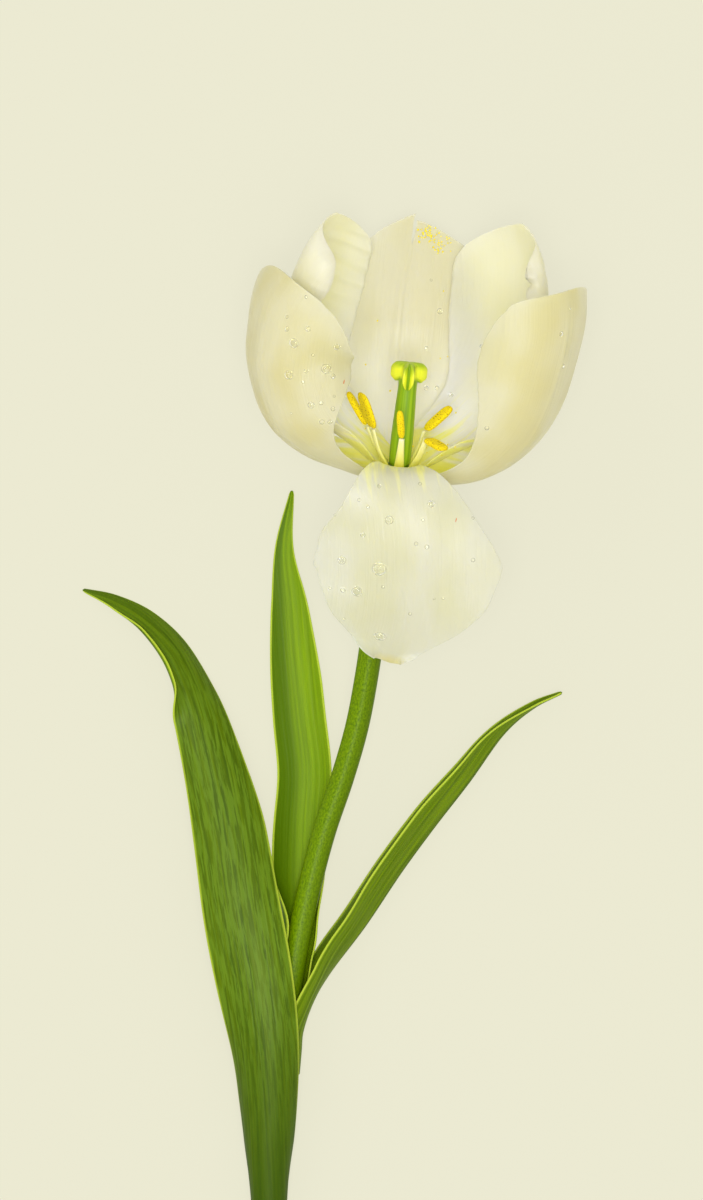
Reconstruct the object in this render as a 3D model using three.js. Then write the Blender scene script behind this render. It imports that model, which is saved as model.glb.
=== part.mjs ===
// A cut tulip lying on a flat surface, seen from above with its flower away from the reader.
// Millimetres. X is across the stem, Y runs from the cut end to the flower, Z is up from the surface.
import * as THREE from 'three';

// Driving dimensions
const stemRadius = 3.1;
const receptacleRadius = 4.6;
const fit = 0.3;                       // clear gap between two pieces that grow from each other
const flowerLean = 6;                  // degrees, flower axis from Y towards X
const flowerTilt = 18;                 // degrees, flower axis up from the surface
const flowerSeat = [12.2, 33.3, 28];   // centre of the receptacle
const layOnSurface = [5.04, 41.22, 0.09]; // moves the middle of the underside to the origin

const petalThickness = { rib: 1.1, margin: 0.7 };
const leafThickness = { rib: 1.2, margin: 0.7 };
const petalRows = 16;
const petalColumns = 5;                // on each side of the midrib
const leafRows = 22;
const leafColumns = 4;

const colours = { petal: 0xe6e4cc, leaf: 0x5a8632, paleLeaf: 0x93bf22, stem: 0x6e9a10, anther: 0xf2d200,
  filament: 0xf0e987, pistil: 0x8fc018 };

const up = new THREE.Vector3(0, 0, 1);
const rad = THREE.MathUtils.degToRad;

// A smooth curve through [place, value] stops that never overshoots them.
function through(stops) {
  const slopes = stops.map((stop, i) => {
    const before = i > 0 ? (stop[1] - stops[i - 1][1]) / (stop[0] - stops[i - 1][0]) : null;
    const after = i < stops.length - 1 ? (stops[i + 1][1] - stop[1]) / (stops[i + 1][0] - stop[0]) : null;
    if (before === null) return after;
    if (after === null) return before;
    return before * after <= 0 ? 0 : 2 * before * after / (before + after);
  });
  return (place) => {
    const x = THREE.MathUtils.clamp(place, stops[0][0], stops[stops.length - 1][0]);
    let i = stops.findIndex((stop) => stop[0] > x) - 1;
    if (i < 0) i = stops.length - 2;
    const span = stops[i + 1][0] - stops[i][0];
    const t = (x - stops[i][0]) / span;
    return (2 * t ** 3 - 3 * t ** 2 + 1) * stops[i][1] + (t ** 3 - 2 * t ** 2 + t) * span * slopes[i]
      + (3 * t ** 2 - 2 * t ** 3) * stops[i + 1][1] + (t ** 3 - t ** 2) * span * slopes[i + 1];
  };
}

const steady = (value) => () => value;
const route = (points) => {
  const knots = points.map((p) => new THREE.Vector3(...p));
  return new THREE.CatmullRomCurve3(knots, false, 'catmullrom');
};

// Half the width of a petal: a claw at the base, widest at `fullest`, then a rounded or pointed tip.
// `spread` holds, for the left and the right half, how late the petal widens above its claw.
// `trim` holds, for the left and the right half, the share of that width that is left along the petal.
function petalOutline({ half, claw, fullest, spread, tip, left = 1, right = 1, trim = [null, null] }) {
  const tipShare = 0.05;
  const trims = trim.map((stops) => (stops ? through(stops) : steady(1)));
  return (s, side) => {
    const power = spread[side < 0 ? 0 : 1];
    const low = claw + (1 - claw) * Math.sin(Math.PI / 2 * Math.min(s / fullest, 1)) ** power;
    const t = THREE.MathUtils.clamp((s - fullest) / (1 - fullest), 0, 1);
    const high = Math.sqrt(Math.max(1 - (1 - tipShare ** 2) * t ** tip, 0));
    return half * (s < fullest ? low : high) * (side < 0 ? left : right) * trims[side < 0 ? 0 : 1](s);
  };
}

// The middle surface of a petal or leaf: rows along its midrib, columns out to both margins.
// Across, it bends with curvature `cup`, folds at the midrib by `keel` and rolls near a margin by `roll`.
// The line across is square to the midrib's direction over `ease` of its length to both sides.
function surfaceOf(blade, rows, columns) {
  const curve = route(blade.midrib);
  const grid = [];
  for (let row = 0; row <= rows; row++) {
    const share = blade.tipRows ? 1 - (1 - row / rows) ** blade.tipRows : row / rows;
    const line = [];
    for (let column = -columns; column <= columns; column++) {
      const side = Math.sign(column) || 1;
      const v = (Math.abs(column) / columns) ** (blade.crowd || 1);
      const s = share - (blade.notch ? blade.notch(side * v) : 0) * share ** 5;
      line.push(pointOn(blade, curve, s, side, v));
    }
    grid.push(line);
  }
  return grid;
}

function pointOn(blade, curve, s, side, v) {
  const ahead = curve.getPointAt(Math.min(s + blade.ease, 1));
  const along = ahead.sub(curve.getPointAt(Math.max(s - blade.ease, 0))).normalize();
  const flat = blade.level(along);
  const facing = new THREE.Vector3().crossVectors(flat, along);
  const turn = rad(blade.turn(s));
  const across = flat.clone().multiplyScalar(Math.cos(turn)).addScaledVector(facing, Math.sin(turn));
  const inward = new THREE.Vector3().crossVectors(across, along);
  const width = blade.width(s, side);
  const roll = rad((side < 0 ? blade.rollLeft : blade.rollRight)(s));
  const bend = blade.cup(s) * (side < 0 ? blade.bendLeft : blade.bendRight);
  const steps = 24;
  let out = 0;
  let up = 0;
  for (let step = 0; step < steps * v - 1e-9; step++) {
    const u = (step + 0.5) / steps;
    const edge = Math.max((u - blade.rollFrom) / (1 - blade.rollFrom), 0) ** 1.5;
    const angle = rad(blade.keel(s)) + bend * width * u + roll * edge;
    const stride = width * Math.min(1 / steps, v - step / steps);
    out += Math.cos(angle) * stride;
    up += Math.sin(angle) * stride;
  }
  up += blade.wave(s, side * v);
  return curve.getPointAt(s).addScaledVector(across, side * out).addScaledVector(inward, up);
}

// A closed solid from a grid of middle points: thickness is shared to both sides of the surface.
function sheetGeometry(grid, thickness) {
  const rows = grid.length;
  const columns = grid[0].length;
  const at = (list, i) => list[THREE.MathUtils.clamp(i, 0, list.length - 1)];
  const positions = [[], []];
  for (let i = 0; i < rows; i++) {
    for (let j = 0; j < columns; j++) {
      const along = at(grid, i + 1)[j].clone().sub(at(grid, i - 1)[j]);
      const across = at(grid[i], j + 1).clone().sub(at(grid[i], j - 1));
      const normal = across.cross(along).normalize();
      const half = thickness(i / (rows - 1), Math.abs(2 * j / (columns - 1) - 1)) / 2;
      positions[0].push(grid[i][j].clone().addScaledVector(normal, half));
      positions[1].push(grid[i][j].clone().addScaledVector(normal, -half));
    }
  }
  const count = rows * columns;
  const index = [];
  const quad = (a, b, c, d) => index.push(a, b, c, a, c, d);
  for (let i = 0; i < rows - 1; i++) {
    for (let j = 0; j < columns - 1; j++) {
      const a = i * columns + j;
      quad(a, a + 1, a + columns + 1, a + columns);
      quad(count + a, count + a + columns, count + a + columns + 1, count + a + 1);
    }
  }
  for (let j = 0; j < columns - 1; j++) {
    const last = (rows - 1) * columns + j;
    quad(j + 1, j, count + j, count + j + 1);
    quad(last, last + 1, count + last + 1, count + last);
  }
  for (let i = 0; i < rows - 1; i++) {
    const left = i * columns;
    const right = left + columns - 1;
    quad(left, left + columns, count + left + columns, count + left);
    quad(right + columns, right, count + right, count + right + columns);
  }
  return solid([...positions[0], ...positions[1]], index);
}

// A closed solid from rings of points, each ring going round the same way as seen from its end.
function loftGeometry(rings) {
  const sides = rings[0].length;
  const points = rings.flat();
  const index = [];
  for (let i = 0; i < rings.length - 1; i++) {
    for (let j = 0; j < sides; j++) {
      const a = i * sides + j;
      const b = i * sides + (j + 1) % sides;
      index.push(a, b, b + sides, a, b + sides, a + sides);
    }
  }
  const middle = (ring) => ring.reduce((sum, p) => sum.add(p), new THREE.Vector3()).divideScalar(sides);
  const first = points.push(middle(rings[0])) - 1;
  const last = points.push(middle(rings[rings.length - 1])) - 1;
  const top = (rings.length - 1) * sides;
  for (let j = 0; j < sides; j++) {
    index.push(first, (j + 1) % sides, j);
    index.push(last, top + j, top + (j + 1) % sides);
  }
  return solid(points, index);
}

function solid(points, index) {
  const geometry = new THREE.BufferGeometry().setFromPoints(points);
  geometry.setIndex(index);
  geometry.computeVertexNormals();
  return geometry;
}

// Rings across a route: `radii` gives the half width and half height at a share of the length.
function tubeRings(points, steps, sides, radii) {
  const curve = route(points);
  const rings = [];
  for (let step = 0; step <= steps; step++) {
    const s = step / steps;
    const along = curve.getTangentAt(s);
    const across = new THREE.Vector3().crossVectors(along, new THREE.Vector3(0.02, 0.01, 1)).normalize();
    const upward = new THREE.Vector3().crossVectors(across, along);
    const [wide, high] = radii(s);
    rings.push(Array.from({ length: sides }, (_, k) => {
      const angle = -2 * Math.PI * k / sides;
      return curve.getPointAt(s).addScaledVector(across, wide * Math.cos(angle))
        .addScaledVector(upward, high * Math.sin(angle));
    }));
  }
  return rings;
}

function piece(name, geometry, colour, roughness = 0.5) {
  const mesh = new THREE.Mesh(geometry, new THREE.MeshStandardMaterial({ color: colour, roughness }));
  mesh.name = name;
  return mesh;
}

const bladeDefaults = { turn: steady(0), keel: steady(0), rollLeft: steady(0), rollRight: steady(0),
  rollFrom: 0.5, bendLeft: 1, bendRight: 1, wave: steady(0), ease: 0.0005 };

const thinning = ({ rib, margin }) => (s, v) => THREE.MathUtils.lerp(rib, margin, Math.max(v, s ** 3));

// How far the tip of a petal falls back towards each margin, as a share of its length.
const rounded = (v, left, right) => (v < 0 ? left : right) * (1 - Math.sqrt(1 - v ** 2));

// Petals: each midrib is a list of [out from the flower axis, sideways, up the axis].
const petals = {
  petal_back_centre: { azimuth: 94,
    midrib: [[4.6, 0, -2.8], [12, 0, -0.6], [22, 0, 4.2], [31, 0, 13], [37, 0, 25], [39, 0, 37], [38, 0, 49],
      [35, 0, 60.5]],
    outline: { half: 25.5, claw: 0.2, fullest: 0.62, spread: [1, 1], tip: 3.2,
      trim: [[[0, 0.95], [0.3, 0.85], [0.5, 0.75], [0.65, 0.62], [0.8, 0.6], [1, 0.58]],
        [[0, 1], [0.5, 0.97], [0.6, 0.93], [0.8, 0.94], [0.88, 0.88], [0.94, 0.82], [1, 0.8]]] },
    cup: [[0, 1 / 6], [0.25, 1 / 22], [0.7, 1 / 45], [1, 1 / 60]],
    crowd: 1.3,
    notch: (v) => 0.11 * Math.max(1 - Math.abs(v) / 0.13, 0) + (v > 0 ? 0.025 : 0) + rounded(v, 0.14, 0.16) },
  petal_front_left: { azimuth: -165,
    midrib: [[4.6, 0, -2.8], [15, 0, 0.5], [26, 0, 4.7], [35, 0, 12.4], [40.4, 0, 26], [40.7, 0, 36],
      [39.2, 0, 45], [35.6, 0, 52.5]],
    outline: { half: 27.5, claw: 0.22, fullest: 0.58, spread: [1.9, 0.85], tip: 3.4,
      trim: [[[0, 1], [0.2, 0.85], [0.3, 0.9], [0.4, 0.98], [0.5, 0.98], [0.6, 1.03], [0.8, 1.1],
        [0.88, 1.18], [0.94, 1.33], [0.98, 1.65], [1, 2.6]], null] },
    cup: [[0, 1 / 6], [0.3, 1 / 17], [0.7, 1 / 16], [0.85, 1 / 19], [1, 1 / 24]],
    bendRight: 0.55,
    turn: [[0, 0], [0.3, -12], [1, -12]] },
  petal_front_right: { azimuth: -20,
    midrib: [[4.6, 0, -2.8], [13, 0, -0.7], [20.6, 0, 1.8], [28, 0, 6.8], [34.5, 0, 14.9], [38.5, 0, 24],
      [40.7, 0, 35], [41.8, 0, 46], [40.6, 0, 57]],
    outline: { half: 27.5, claw: 0.22, fullest: 0.58, spread: [0.85, 1.8], tip: 3.8,
      trim: [[[0, 1.3], [0.15, 1.2], [0.3, 1.05], [0.45, 1], [1, 1]],
        [[0, 1], [0.2, 0.85], [0.3, 0.73], [0.4, 0.7], [0.5, 0.73], [0.6, 0.8], [0.7, 0.88], [0.88, 0.96],
          [0.94, 1.05], [0.98, 1.38], [1, 1.9]]] },
    cup: [[0, 1 / 6], [0.3, 1 / 17], [0.7, 1 / 16], [1, 1 / 17]],
    bendLeft: 0.55,
    turn: [[0, 0], [0.3, 12], [1, 12]] },
  petal_back_left: { azimuth: 150,
    midrib: [[4.75, 0, 0.5], [11, 0, 3.8], [20, 0, 9], [28.5, 0, 18], [33, 0, 30], [33.5, 0, 44],
      [30.5, 0, 56], [26.5, 0, 64]],
    outline: { half: 24, claw: 0.3, fullest: 0.64, spread: [0.7, 1.4], tip: 4.2, left: 1.12, right: 0.88,
      trim: [[[0, 0.8], [0.3, 0.92], [0.45, 1], [0.7, 1], [0.85, 1.12], [1, 1.3]],
        [[0, 1], [0.3, 0.78], [0.4, 0.75], [0.5, 0.85], [0.6, 0.93], [0.7, 1], [0.8, 1],
          [1, 0.98]]] },
    notch: (v) => rounded(v, 0.05, 0.16),
    cup: [[0, 1 / 5.5], [0.3, 1 / 28], [0.7, 1 / 36], [1, 1 / 28]],
    rollLeft: [[0, 0], [0.35, 10], [0.6, 75], [0.9, 95], [1, 80]],
    rollFrom: 0.4 },
  petal_back_right: { azimuth: 30,
    midrib: [[4.75, 0, 0.5], [11, 0, 3.8], [20, 0, 9], [28.5, 0, 18], [33, 0, 30], [34, 0, 44], [32.5, 0, 57],
      [29, 0, 66]],
    outline: { half: 25.5, claw: 0.3, fullest: 0.64, spread: [1, 0.7], tip: 3.6,
      trim: [[[0, 1], [0.3, 0.9], [0.5, 1], [0.7, 1.06], [0.88, 1.03], [1, 0.95]],
        [[0, 0.8], [0.3, 0.92], [0.45, 1], [1, 1]]] },
    notch: (v) => rounded(v, 0.18, 0.1),
    cup: [[0, 1 / 5.5], [0.3, 1 / 28], [0.7, 1 / 36], [1, 1 / 28]],
    rollRight: [[0, 0], [0.68, 0], [0.85, 45], [1, 70]] },
  petal_front: { azimuth: -91,
    midrib: [[4.75, 0, 0.7], [12, 0, 4.6], [20, 0.5, 5.2], [25, 2.4, 0], [28, 4.8, -12], [27, 6, -26],
      [22.9, 5.4, -37.4], [18.4, 3.4, -46]],
    outline: { half: 24.8, claw: 0.15, fullest: 0.58, spread: [1.7, 1.7], tip: 0.95, left: 0.95,
      trim: [[[0, 1], [0.3, 0.9], [0.4, 0.88], [0.5, 0.95], [0.6, 1.05], [0.7, 1.07], [0.8, 0.9], [0.88, 0.7],
        [0.94, 0.6], [1, 0.6]],
      [[0, 0.9], [0.2, 0.85], [0.3, 0.93], [0.4, 1.05], [0.5, 1], [0.6, 1], [0.7, 1.07], [0.8, 1.12],
        [0.88, 1.05], [0.94, 0.95], [1, 0.8]]] },
    cup: [[0, 1 / 5.5], [0.2, 1 / 60], [0.35, -1 / 60], [0.6, -1 / 90], [1, 1 / 60]] },
};

function petal(name, shape) {
  const curves = Object.fromEntries(['cup', 'turn', 'rollLeft', 'rollRight'].filter((key) => shape[key])
    .map((key) => [key, through(shape[key])]));
  const right = new THREE.Vector3(0, -1, 0);
  const level = (along) => right.clone().addScaledVector(along, -right.dot(along)).normalize();
  const width = petalOutline(shape.outline);
  const blade = { ...bladeDefaults, ...shape, ...curves, level, tipRows: 1.35, ease: 0.13, width };
  const grid = surfaceOf(blade, petalRows, petalColumns);
  const mesh = piece(name, sheetGeometry(grid, thinning(petalThickness)), colours.petal, 0.45);
  mesh.rotation.z = rad(shape.azimuth);
  return mesh;
}

// The stem runs along Y; these give how far across and how high its middle line is.
const stemAcross = through([[-183.5, -23.7], [-153, -21], [-119, -18.1], [-92, -14.4], [-66, -8.6], [-39, 0],
  [-26, 3], [-10, 5.4], [10, 8.6], [26, 11.4], [35, 12.4]]);
const stemHeight = through([[-183.5, 4.6], [-119, 6.8], [-92, 8.6], [-66, 10.6], [-39, 13.4], [-10, 17.8],
  [10, 21.6], [26, 25.6], [35, 28.5]]);
const stemEnd = -183.5;
const stemTop = 34.7;
const stemStops = 16;

// A point on the sheath of a leaf, which hugs the stem from the side given by `angle`.
const sheathRadius = stemRadius + 2 * fit + leafThickness.rib / 2;
const hugging = (angle, radius, ...places) => places.map((y) => [
  stemAcross(y) + radius * Math.cos(rad(angle)), y, stemHeight(y) + radius * Math.sin(rad(angle))]);

// Leaves: each midrib is a list of points in the model's own frame.
const leaves = {
  leaf_left: { colour: colours.leaf,
    midrib: [...hugging(90, sheathRadius, -182.9, -172, -162), [-22.3, -144, 12], [-23, -131.5, 13.5],
      [-24.2, -116, 15.2], [-26.6, -98.4, 15.6], [-29.8, -80.1, 15], [-32.7, -60.5, 12.8], [-36.5, -42.2, 10],
      [-40.5, -26.4, 7.2], [-45.9, -14.5, 4.6], [-53.8, -5.8, 2.6], [-62.6, -0.3, 1.6], [-70.9, 2.6, 0.8]],
    leftWidth: [[0, 9.6], [0.2, 9.2], [0.3, 9.4], [0.45, 9.9], [0.6, 9.4], [0.72, 8], [0.8, 7.4], [0.9, 5],
      [1, 0.4]],
    rightWidth: [[0, 10], [0.2, 9.8], [0.3, 10.6], [0.45, 11.2], [0.6, 10.6], [0.72, 8], [0.8, 6.4],
      [0.9, 3.8], [1, 0.4]],
    cup: [[0, -1 / 4.3], [0.09, -1 / 4.3], [0.2, -1 / 6.6], [0.27, -1 / 9], [0.45, -1 / 26], [0.7, -1 / 16],
      [1, -1 / 10]],
    turn: [[0, 0], [0.1, 0], [0.3, 12], [0.45, 4], [0.7, -8], [0.85, -35], [1, -30]],
    rollLeft: [[0, 0], [0.75, 0], [0.81, 150], [0.9, 150], [0.95, 60], [1, 0]],
    rollFrom: 0.4 },
  leaf_back: { colour: colours.paleLeaf,
    midrib: [...hugging(-90, sheathRadius, -104, -95, -87), [-13.4, -72, 3.2], [-12.9, -58, 1.6],
      [-12.3, -45, 1], [-13.9, -30.7, 0.8], [-15.5, -14.8, 0.8], [-16.6, -1.1, 0.9], [-17.9, 13.8, 1.4],
      [-15.8, 28.6, 2.2]],
    leftWidth: [[0, 10], [0.2, 9.9], [0.4, 7.9], [0.6, 6.9], [0.75, 5.1], [0.88, 2.4], [1, 0.4]],
    rightWidth: [[0, 7.6], [0.2, 7.3], [0.4, 7.3], [0.6, 7.2], [0.75, 5.4], [0.88, 2.6], [1, 0.4]],
    cup: [[0, 1 / 4.3], [0.13, 1 / 4.3], [0.25, 1 / 8], [0.55, 1 / 14], [1, 1 / 8]] },
  leaf_right: { colour: colours.leaf,
    midrib: [...hugging(-20, sheathRadius + 0.4, -125, -119, -113.5), [-10.4, -106, 5.8], [-5.6, -98, 5],
      [3.5, -86, 4], [12.9, -72, 3.4], [21.7, -60, 3], [31, -48, 3], [40, -35.5, 3], [48, -28.5, 3.2],
      [55.4, -24.6, 3.4]],
    leftWidth: [[0, 7], [0.15, 7.4], [0.3, 6.9], [0.6, 6.6], [0.78, 4.8], [0.9, 2.1], [1, 0.4]],
    rightWidth: [[0, 8.3], [0.15, 8.6], [0.3, 8.2], [0.6, 8.1], [0.78, 6], [0.9, 2.6], [1, 0.4]],
    cup: [[0, 1 / 4.4], [0.06, 1 / 4.6], [0.14, 1 / 6.6], [0.22, 1 / 12], [0.4, 1 / 60], [1, 1 / 60]],
    keel: [[0, 0], [0.12, 0], [0.3, 45], [0.45, 60], [0.8, 60], [1, 30]],
    turn: [[0, 72], [0.12, 80], [0.3, 74], [0.8, 70], [1, 50]] },
};

function leaf(name, shape) {
  const curves = Object.fromEntries(['cup', 'turn', 'keel', 'rollLeft'].filter((key) => shape[key])
    .map((key) => [key, through(shape[key])]));
  const level = (along) => new THREE.Vector3().crossVectors(along, up).normalize();
  const halves = [through(shape.leftWidth), through(shape.rightWidth)];
  const width = (s, side) => halves[side < 0 ? 0 : 1](s);
  const blade = { ...bladeDefaults, ...shape, ...curves, level, width };
  const grid = surfaceOf(blade, leafRows, leafColumns);
  return piece(name, sheetGeometry(grid, thinning(leafThickness)), shape.colour);
}

function stem() {
  const swell = through([[0, stemRadius], [0.955, stemRadius], [0.985, receptacleRadius],
    [1, receptacleRadius - 0.5]]);
  const points = [];
  for (let k = 0; k <= stemStops; k++) {
    const y = THREE.MathUtils.lerp(stemEnd, stemTop, k / stemStops);
    points.push([stemAcross(y), y, stemHeight(y)]);
  }
  return piece('stem', loftGeometry(tubeRings(points, 30, 12, (s) => [swell(s), swell(s)])), colours.stem);
}

// Stamens, in the flower's own frame with Z up its axis: the filament's foot round the pistil,
// the place where it meets the anther, the anther's far end and half its width.
const stamens = {
  front: { foot: -90, joint: [-0.1, -9, 11.6], end: [-1.4, -14, 20.5], wide: 0.95 },
  front_left: { foot: -150, joint: [-7.7, -4.5, 12.2], end: [-11.7, -7, 22.2], wide: 1.75 },
  back_left: { foot: 155, joint: [-9.3, 1, 11.2], end: [-15.3, 3, 19.3], wide: 1.15 },
  back: { foot: 100, joint: [0, 7, 12.2], end: [0.2, 12, 21.6], wide: 1.1 },
  back_right: { foot: 45, joint: [5.6, 2, 11.2], end: [11.9, 6.5, 17.2], wide: 1.1 },
  front_right: { foot: -30, joint: [6.2, -6, 11.6], end: [11.2, -12.2, 11], wide: 1.3 },
};
const footRing = 3.9;
const footHeight = 2;

function filament(name) {
  const { foot, joint } = stamens[name];
  const start = [footRing * Math.cos(rad(foot)), footRing * Math.sin(rad(foot)), footHeight];
  const middle = start.map((v, i) => THREE.MathUtils.lerp(v, joint[i], 0.5) + (i < 2 ? 0.06 * joint[i] : 0));
  const radii = (s) => [THREE.MathUtils.lerp(1, 0.5, s), THREE.MathUtils.lerp(0.6, 0.4, s)];
  const rings = tubeRings([start, middle, joint], 6, 8, radii);
  return piece(`filament_${name}`, loftGeometry(rings), colours.filament);
}

function anther(name) {
  const joint = new THREE.Vector3(...stamens[name].joint);
  const end = new THREE.Vector3(...stamens[name].end);
  const start = joint.clone().addScaledVector(end.clone().sub(joint).normalize(), fit + 0.2);
  const middle = start.clone().lerp(end, 0.5);
  const fullness = (s) => Math.sqrt(1 - (2 * s - 1) ** 4) + 0.2;
  const radii = (s) => [stamens[name].wide * fullness(s), 0.8 * fullness(s)];
  const points = [start, middle, end].map((p) => p.toArray());
  return piece(`anther_${name}`, loftGeometry(tubeRings(points, 7, 8, radii)), colours.anther, 0.8);
}

// The ovary and the three-lobed stigma on it: rings of [height, core radius, lobe reach, lobe droop].
const pistilRings = [[1.8, 2.2, 0, 0], [3, 2.75, 0, 0], [9, 2.9, 0, 0], [16, 2.7, 0, 0], [22, 2.45, 0, 0],
  [24.8, 2.35, 0.2, 0], [26.4, 2.2, 1.8, 1.4], [27.4, 2.1, 3, 1], [28.8, 2, 2.7, 0], [29.6, 1.2, 1.8, 0]];
const stigmaFirstLobe = -90;
const pistilSides = 24;

function pistil() {
  const sides = Array.from({ length: pistilSides }, (_, k) => k);
  const rings = pistilRings.map(([height, core, reach, droop]) => sides.map((k) => {
    const angle = 2 * Math.PI * k / pistilSides;
    const lobe = ((1 + Math.cos(3 * (angle - rad(stigmaFirstLobe)))) / 2) ** 1.5;
    const radius = core + reach * lobe;
    return new THREE.Vector3(radius * Math.cos(angle), radius * Math.sin(angle), height - droop * lobe);
  }));
  return piece('pistil', loftGeometry(rings), colours.pistil, 0.45);
}

const plant = new THREE.Group();
plant.position.set(...layOnSurface);
plant.add(stem());
for (const [name, shape] of Object.entries(leaves)) plant.add(leaf(name, shape));

const flower = new THREE.Group();
flower.position.set(...flowerSeat);
flower.rotation.set(rad(flowerTilt - 90), 0, rad(-flowerLean), 'ZYX');
for (const [name, shape] of Object.entries(petals)) flower.add(petal(name, shape));
plant.add(flower);

for (const stamen of Object.keys(stamens)) {
  flower.add(filament(stamen));
  flower.add(anther(stamen));
}
flower.add(pistil());

export default plant;
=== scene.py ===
# %% [markdown]
# # A cut tulip on a light table
# A tulip is a stack of thin, living sheets: six petals in two whorls of three, and long leaves that wrap
# the stem. This lesson builds every organ from the line of its midrib and a few curves that say how wide
# and how bent it is, and then gives each one the finish of the real tissue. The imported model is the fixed
# frame that everything stands in, so it comes first.

# %% Load the frame
import math

import bpy
import numpy as np
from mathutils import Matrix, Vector
from mathutils.bvhtree import BVHTree


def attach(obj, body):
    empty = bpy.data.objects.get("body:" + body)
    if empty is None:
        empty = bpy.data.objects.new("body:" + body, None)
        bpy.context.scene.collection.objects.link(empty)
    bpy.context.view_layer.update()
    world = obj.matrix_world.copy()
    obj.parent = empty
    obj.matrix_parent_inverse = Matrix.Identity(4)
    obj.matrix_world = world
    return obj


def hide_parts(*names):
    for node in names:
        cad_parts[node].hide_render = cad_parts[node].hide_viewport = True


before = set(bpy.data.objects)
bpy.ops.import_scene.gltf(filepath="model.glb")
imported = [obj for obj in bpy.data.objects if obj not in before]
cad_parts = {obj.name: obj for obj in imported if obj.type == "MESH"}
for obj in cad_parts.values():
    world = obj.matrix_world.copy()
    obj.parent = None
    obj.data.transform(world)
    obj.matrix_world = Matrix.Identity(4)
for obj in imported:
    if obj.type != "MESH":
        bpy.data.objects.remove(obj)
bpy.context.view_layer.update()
print("nodes:", len(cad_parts))

# %% [markdown]
# The model's own numbers are millimetres, measured before the plant was moved so that the middle of its
# underside is the origin. One function brings a point from those numbers to Blender's metres, so the tables
# below can be read with a ruler in mind.

# %% Places and sizes in millimetres
LAY_ON_SURFACE = np.array([5.04, 41.22, 0.09])
MM = 0.001


def to_metres(points):
    return (np.asarray(points, float) + LAY_ON_SURFACE) * MM


print("the model's own zero lies at", to_metres([0, 0, 0]).round(4), "m")

# %% [markdown]
# The plant lies down and the camera looks straight down on it from one and a half metres, which keeps the
# perspective gentle. The lens follows from the height of the view at the level of the flower.

# %% Camera
VIEW_HEIGHT = 312.0
CAMERA_DISTANCE = 1500.0
FLOWER_LEVEL = 30.0
SENSOR = 36.0
VIEW_DEPTH = 20.0

camera_data = bpy.data.cameras.new("camera")
camera_data.sensor_width = SENSOR
camera_data.lens = SENSOR * CAMERA_DISTANCE / VIEW_HEIGHT
camera_data.clip_end = VIEW_DEPTH
camera = bpy.data.objects.new("camera", camera_data)
camera.location = to_metres([0, 0, FLOWER_LEVEL + CAMERA_DISTANCE])
bpy.context.scene.collection.objects.link(camera)
bpy.context.scene.camera = camera
bpy.context.scene.view_settings.view_transform = "Standard"
print("lens:", round(camera_data.lens, 1), "mm")

# %% [markdown]
# Colours are written as the hex values a painter would pick, and light is reckoned in linear numbers, so
# one function turns the first into the second. Materials are node trees: one small function adds a node,
# sets it and feeds it. Some inputs go by number: a MapRange takes its range at 1 and 2 and gives it back as
# 3 to 4, and a Mix of colours goes from the colour at 6 to the one at 7 as its factor at 0 grows.

# %% Colour and node helpers
def linear(code):
    values = [int(code[i:i + 2], 16) / 255 for i in (1, 3, 5)]
    return [v / 12.92 if v <= 0.04045 else ((v + 0.055) / 1.055) ** 2.4 for v in values] + [1]


def add(tree, kind, settings=None, feeds=None, ramp=None):
    """Adds a shader node.

    `feeds` holds a value or another node's output for each input, by name or number. `ramp` holds the
    places and colours of a colour ramp, where a single number is a grey.
    """
    node = tree.nodes.new("ShaderNode" + kind)
    for name, value in (settings or {}).items():
        setattr(node, name, value)
    for name, value in (feeds or {}).items():
        if isinstance(value, bpy.types.NodeSocket):
            tree.links.new(value, node.inputs[name])
        else:
            node.inputs[name].default_value = value
    if ramp:
        stops = node.color_ramp.elements
        while len(stops) < len(ramp):
            stops.new(0.5)
        for stop, (place, colour) in zip(stops, ramp):
            stop.position = place
            stop.color = colour if isinstance(colour, list) else (colour, colour, colour, 1)
    return node


def start_material(name, roughness, ior, **constants):
    """A material with a Principled shader, whose even values are set on its own sockets."""
    material = bpy.data.materials.new(name)
    material.use_nodes = True
    tree = material.node_tree
    shader = tree.nodes["Principled BSDF"]
    shader.inputs["Roughness"].default_value = roughness
    shader.inputs["IOR"].default_value = ior
    for key, value in constants.items():
        shader.inputs[key.replace("_", " ")].default_value = value
    return material, tree, shader


def plain_material(name, colour, roughness, ior, **constants):
    material, tree, shader = start_material(name, roughness, ior, **constants)
    shader.inputs["Base Color"].default_value = linear(colour)
    return material, shader


def finish_skin(tree, shader, colour, height, strength, distance):
    """Feeds the shader its colour, and a fine relief from the pattern that coloured it (distance in mm)."""
    tree.links.new(colour, shader.inputs["Base Color"])
    bump = add(tree, "Bump", feeds={"Strength": strength, "Distance": distance * MM, "Height": height})
    tree.links.new(bump.outputs["Normal"], shader.inputs["Normal"])


print("mid grey in linear light:", round(linear("#808080")[0], 3))

# %% [markdown]
# The floor is a sheet of opal acrylic lit from below, as on a photographer's light table: cast plastic with
# a white filler that scatters light, so it glows evenly and shows nearly no shadow. The glow from
# underneath also shows that petals are translucent. The filler leaves the surface dull, so it gets no
# highlight. A soft lamp at the upper left models the forms, one in front lifts the stem's side, and the
# strongest hangs above the camera, so that it reaches into the flower's cup wherever the camera does. A
# pale sky fills the rest.

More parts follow.
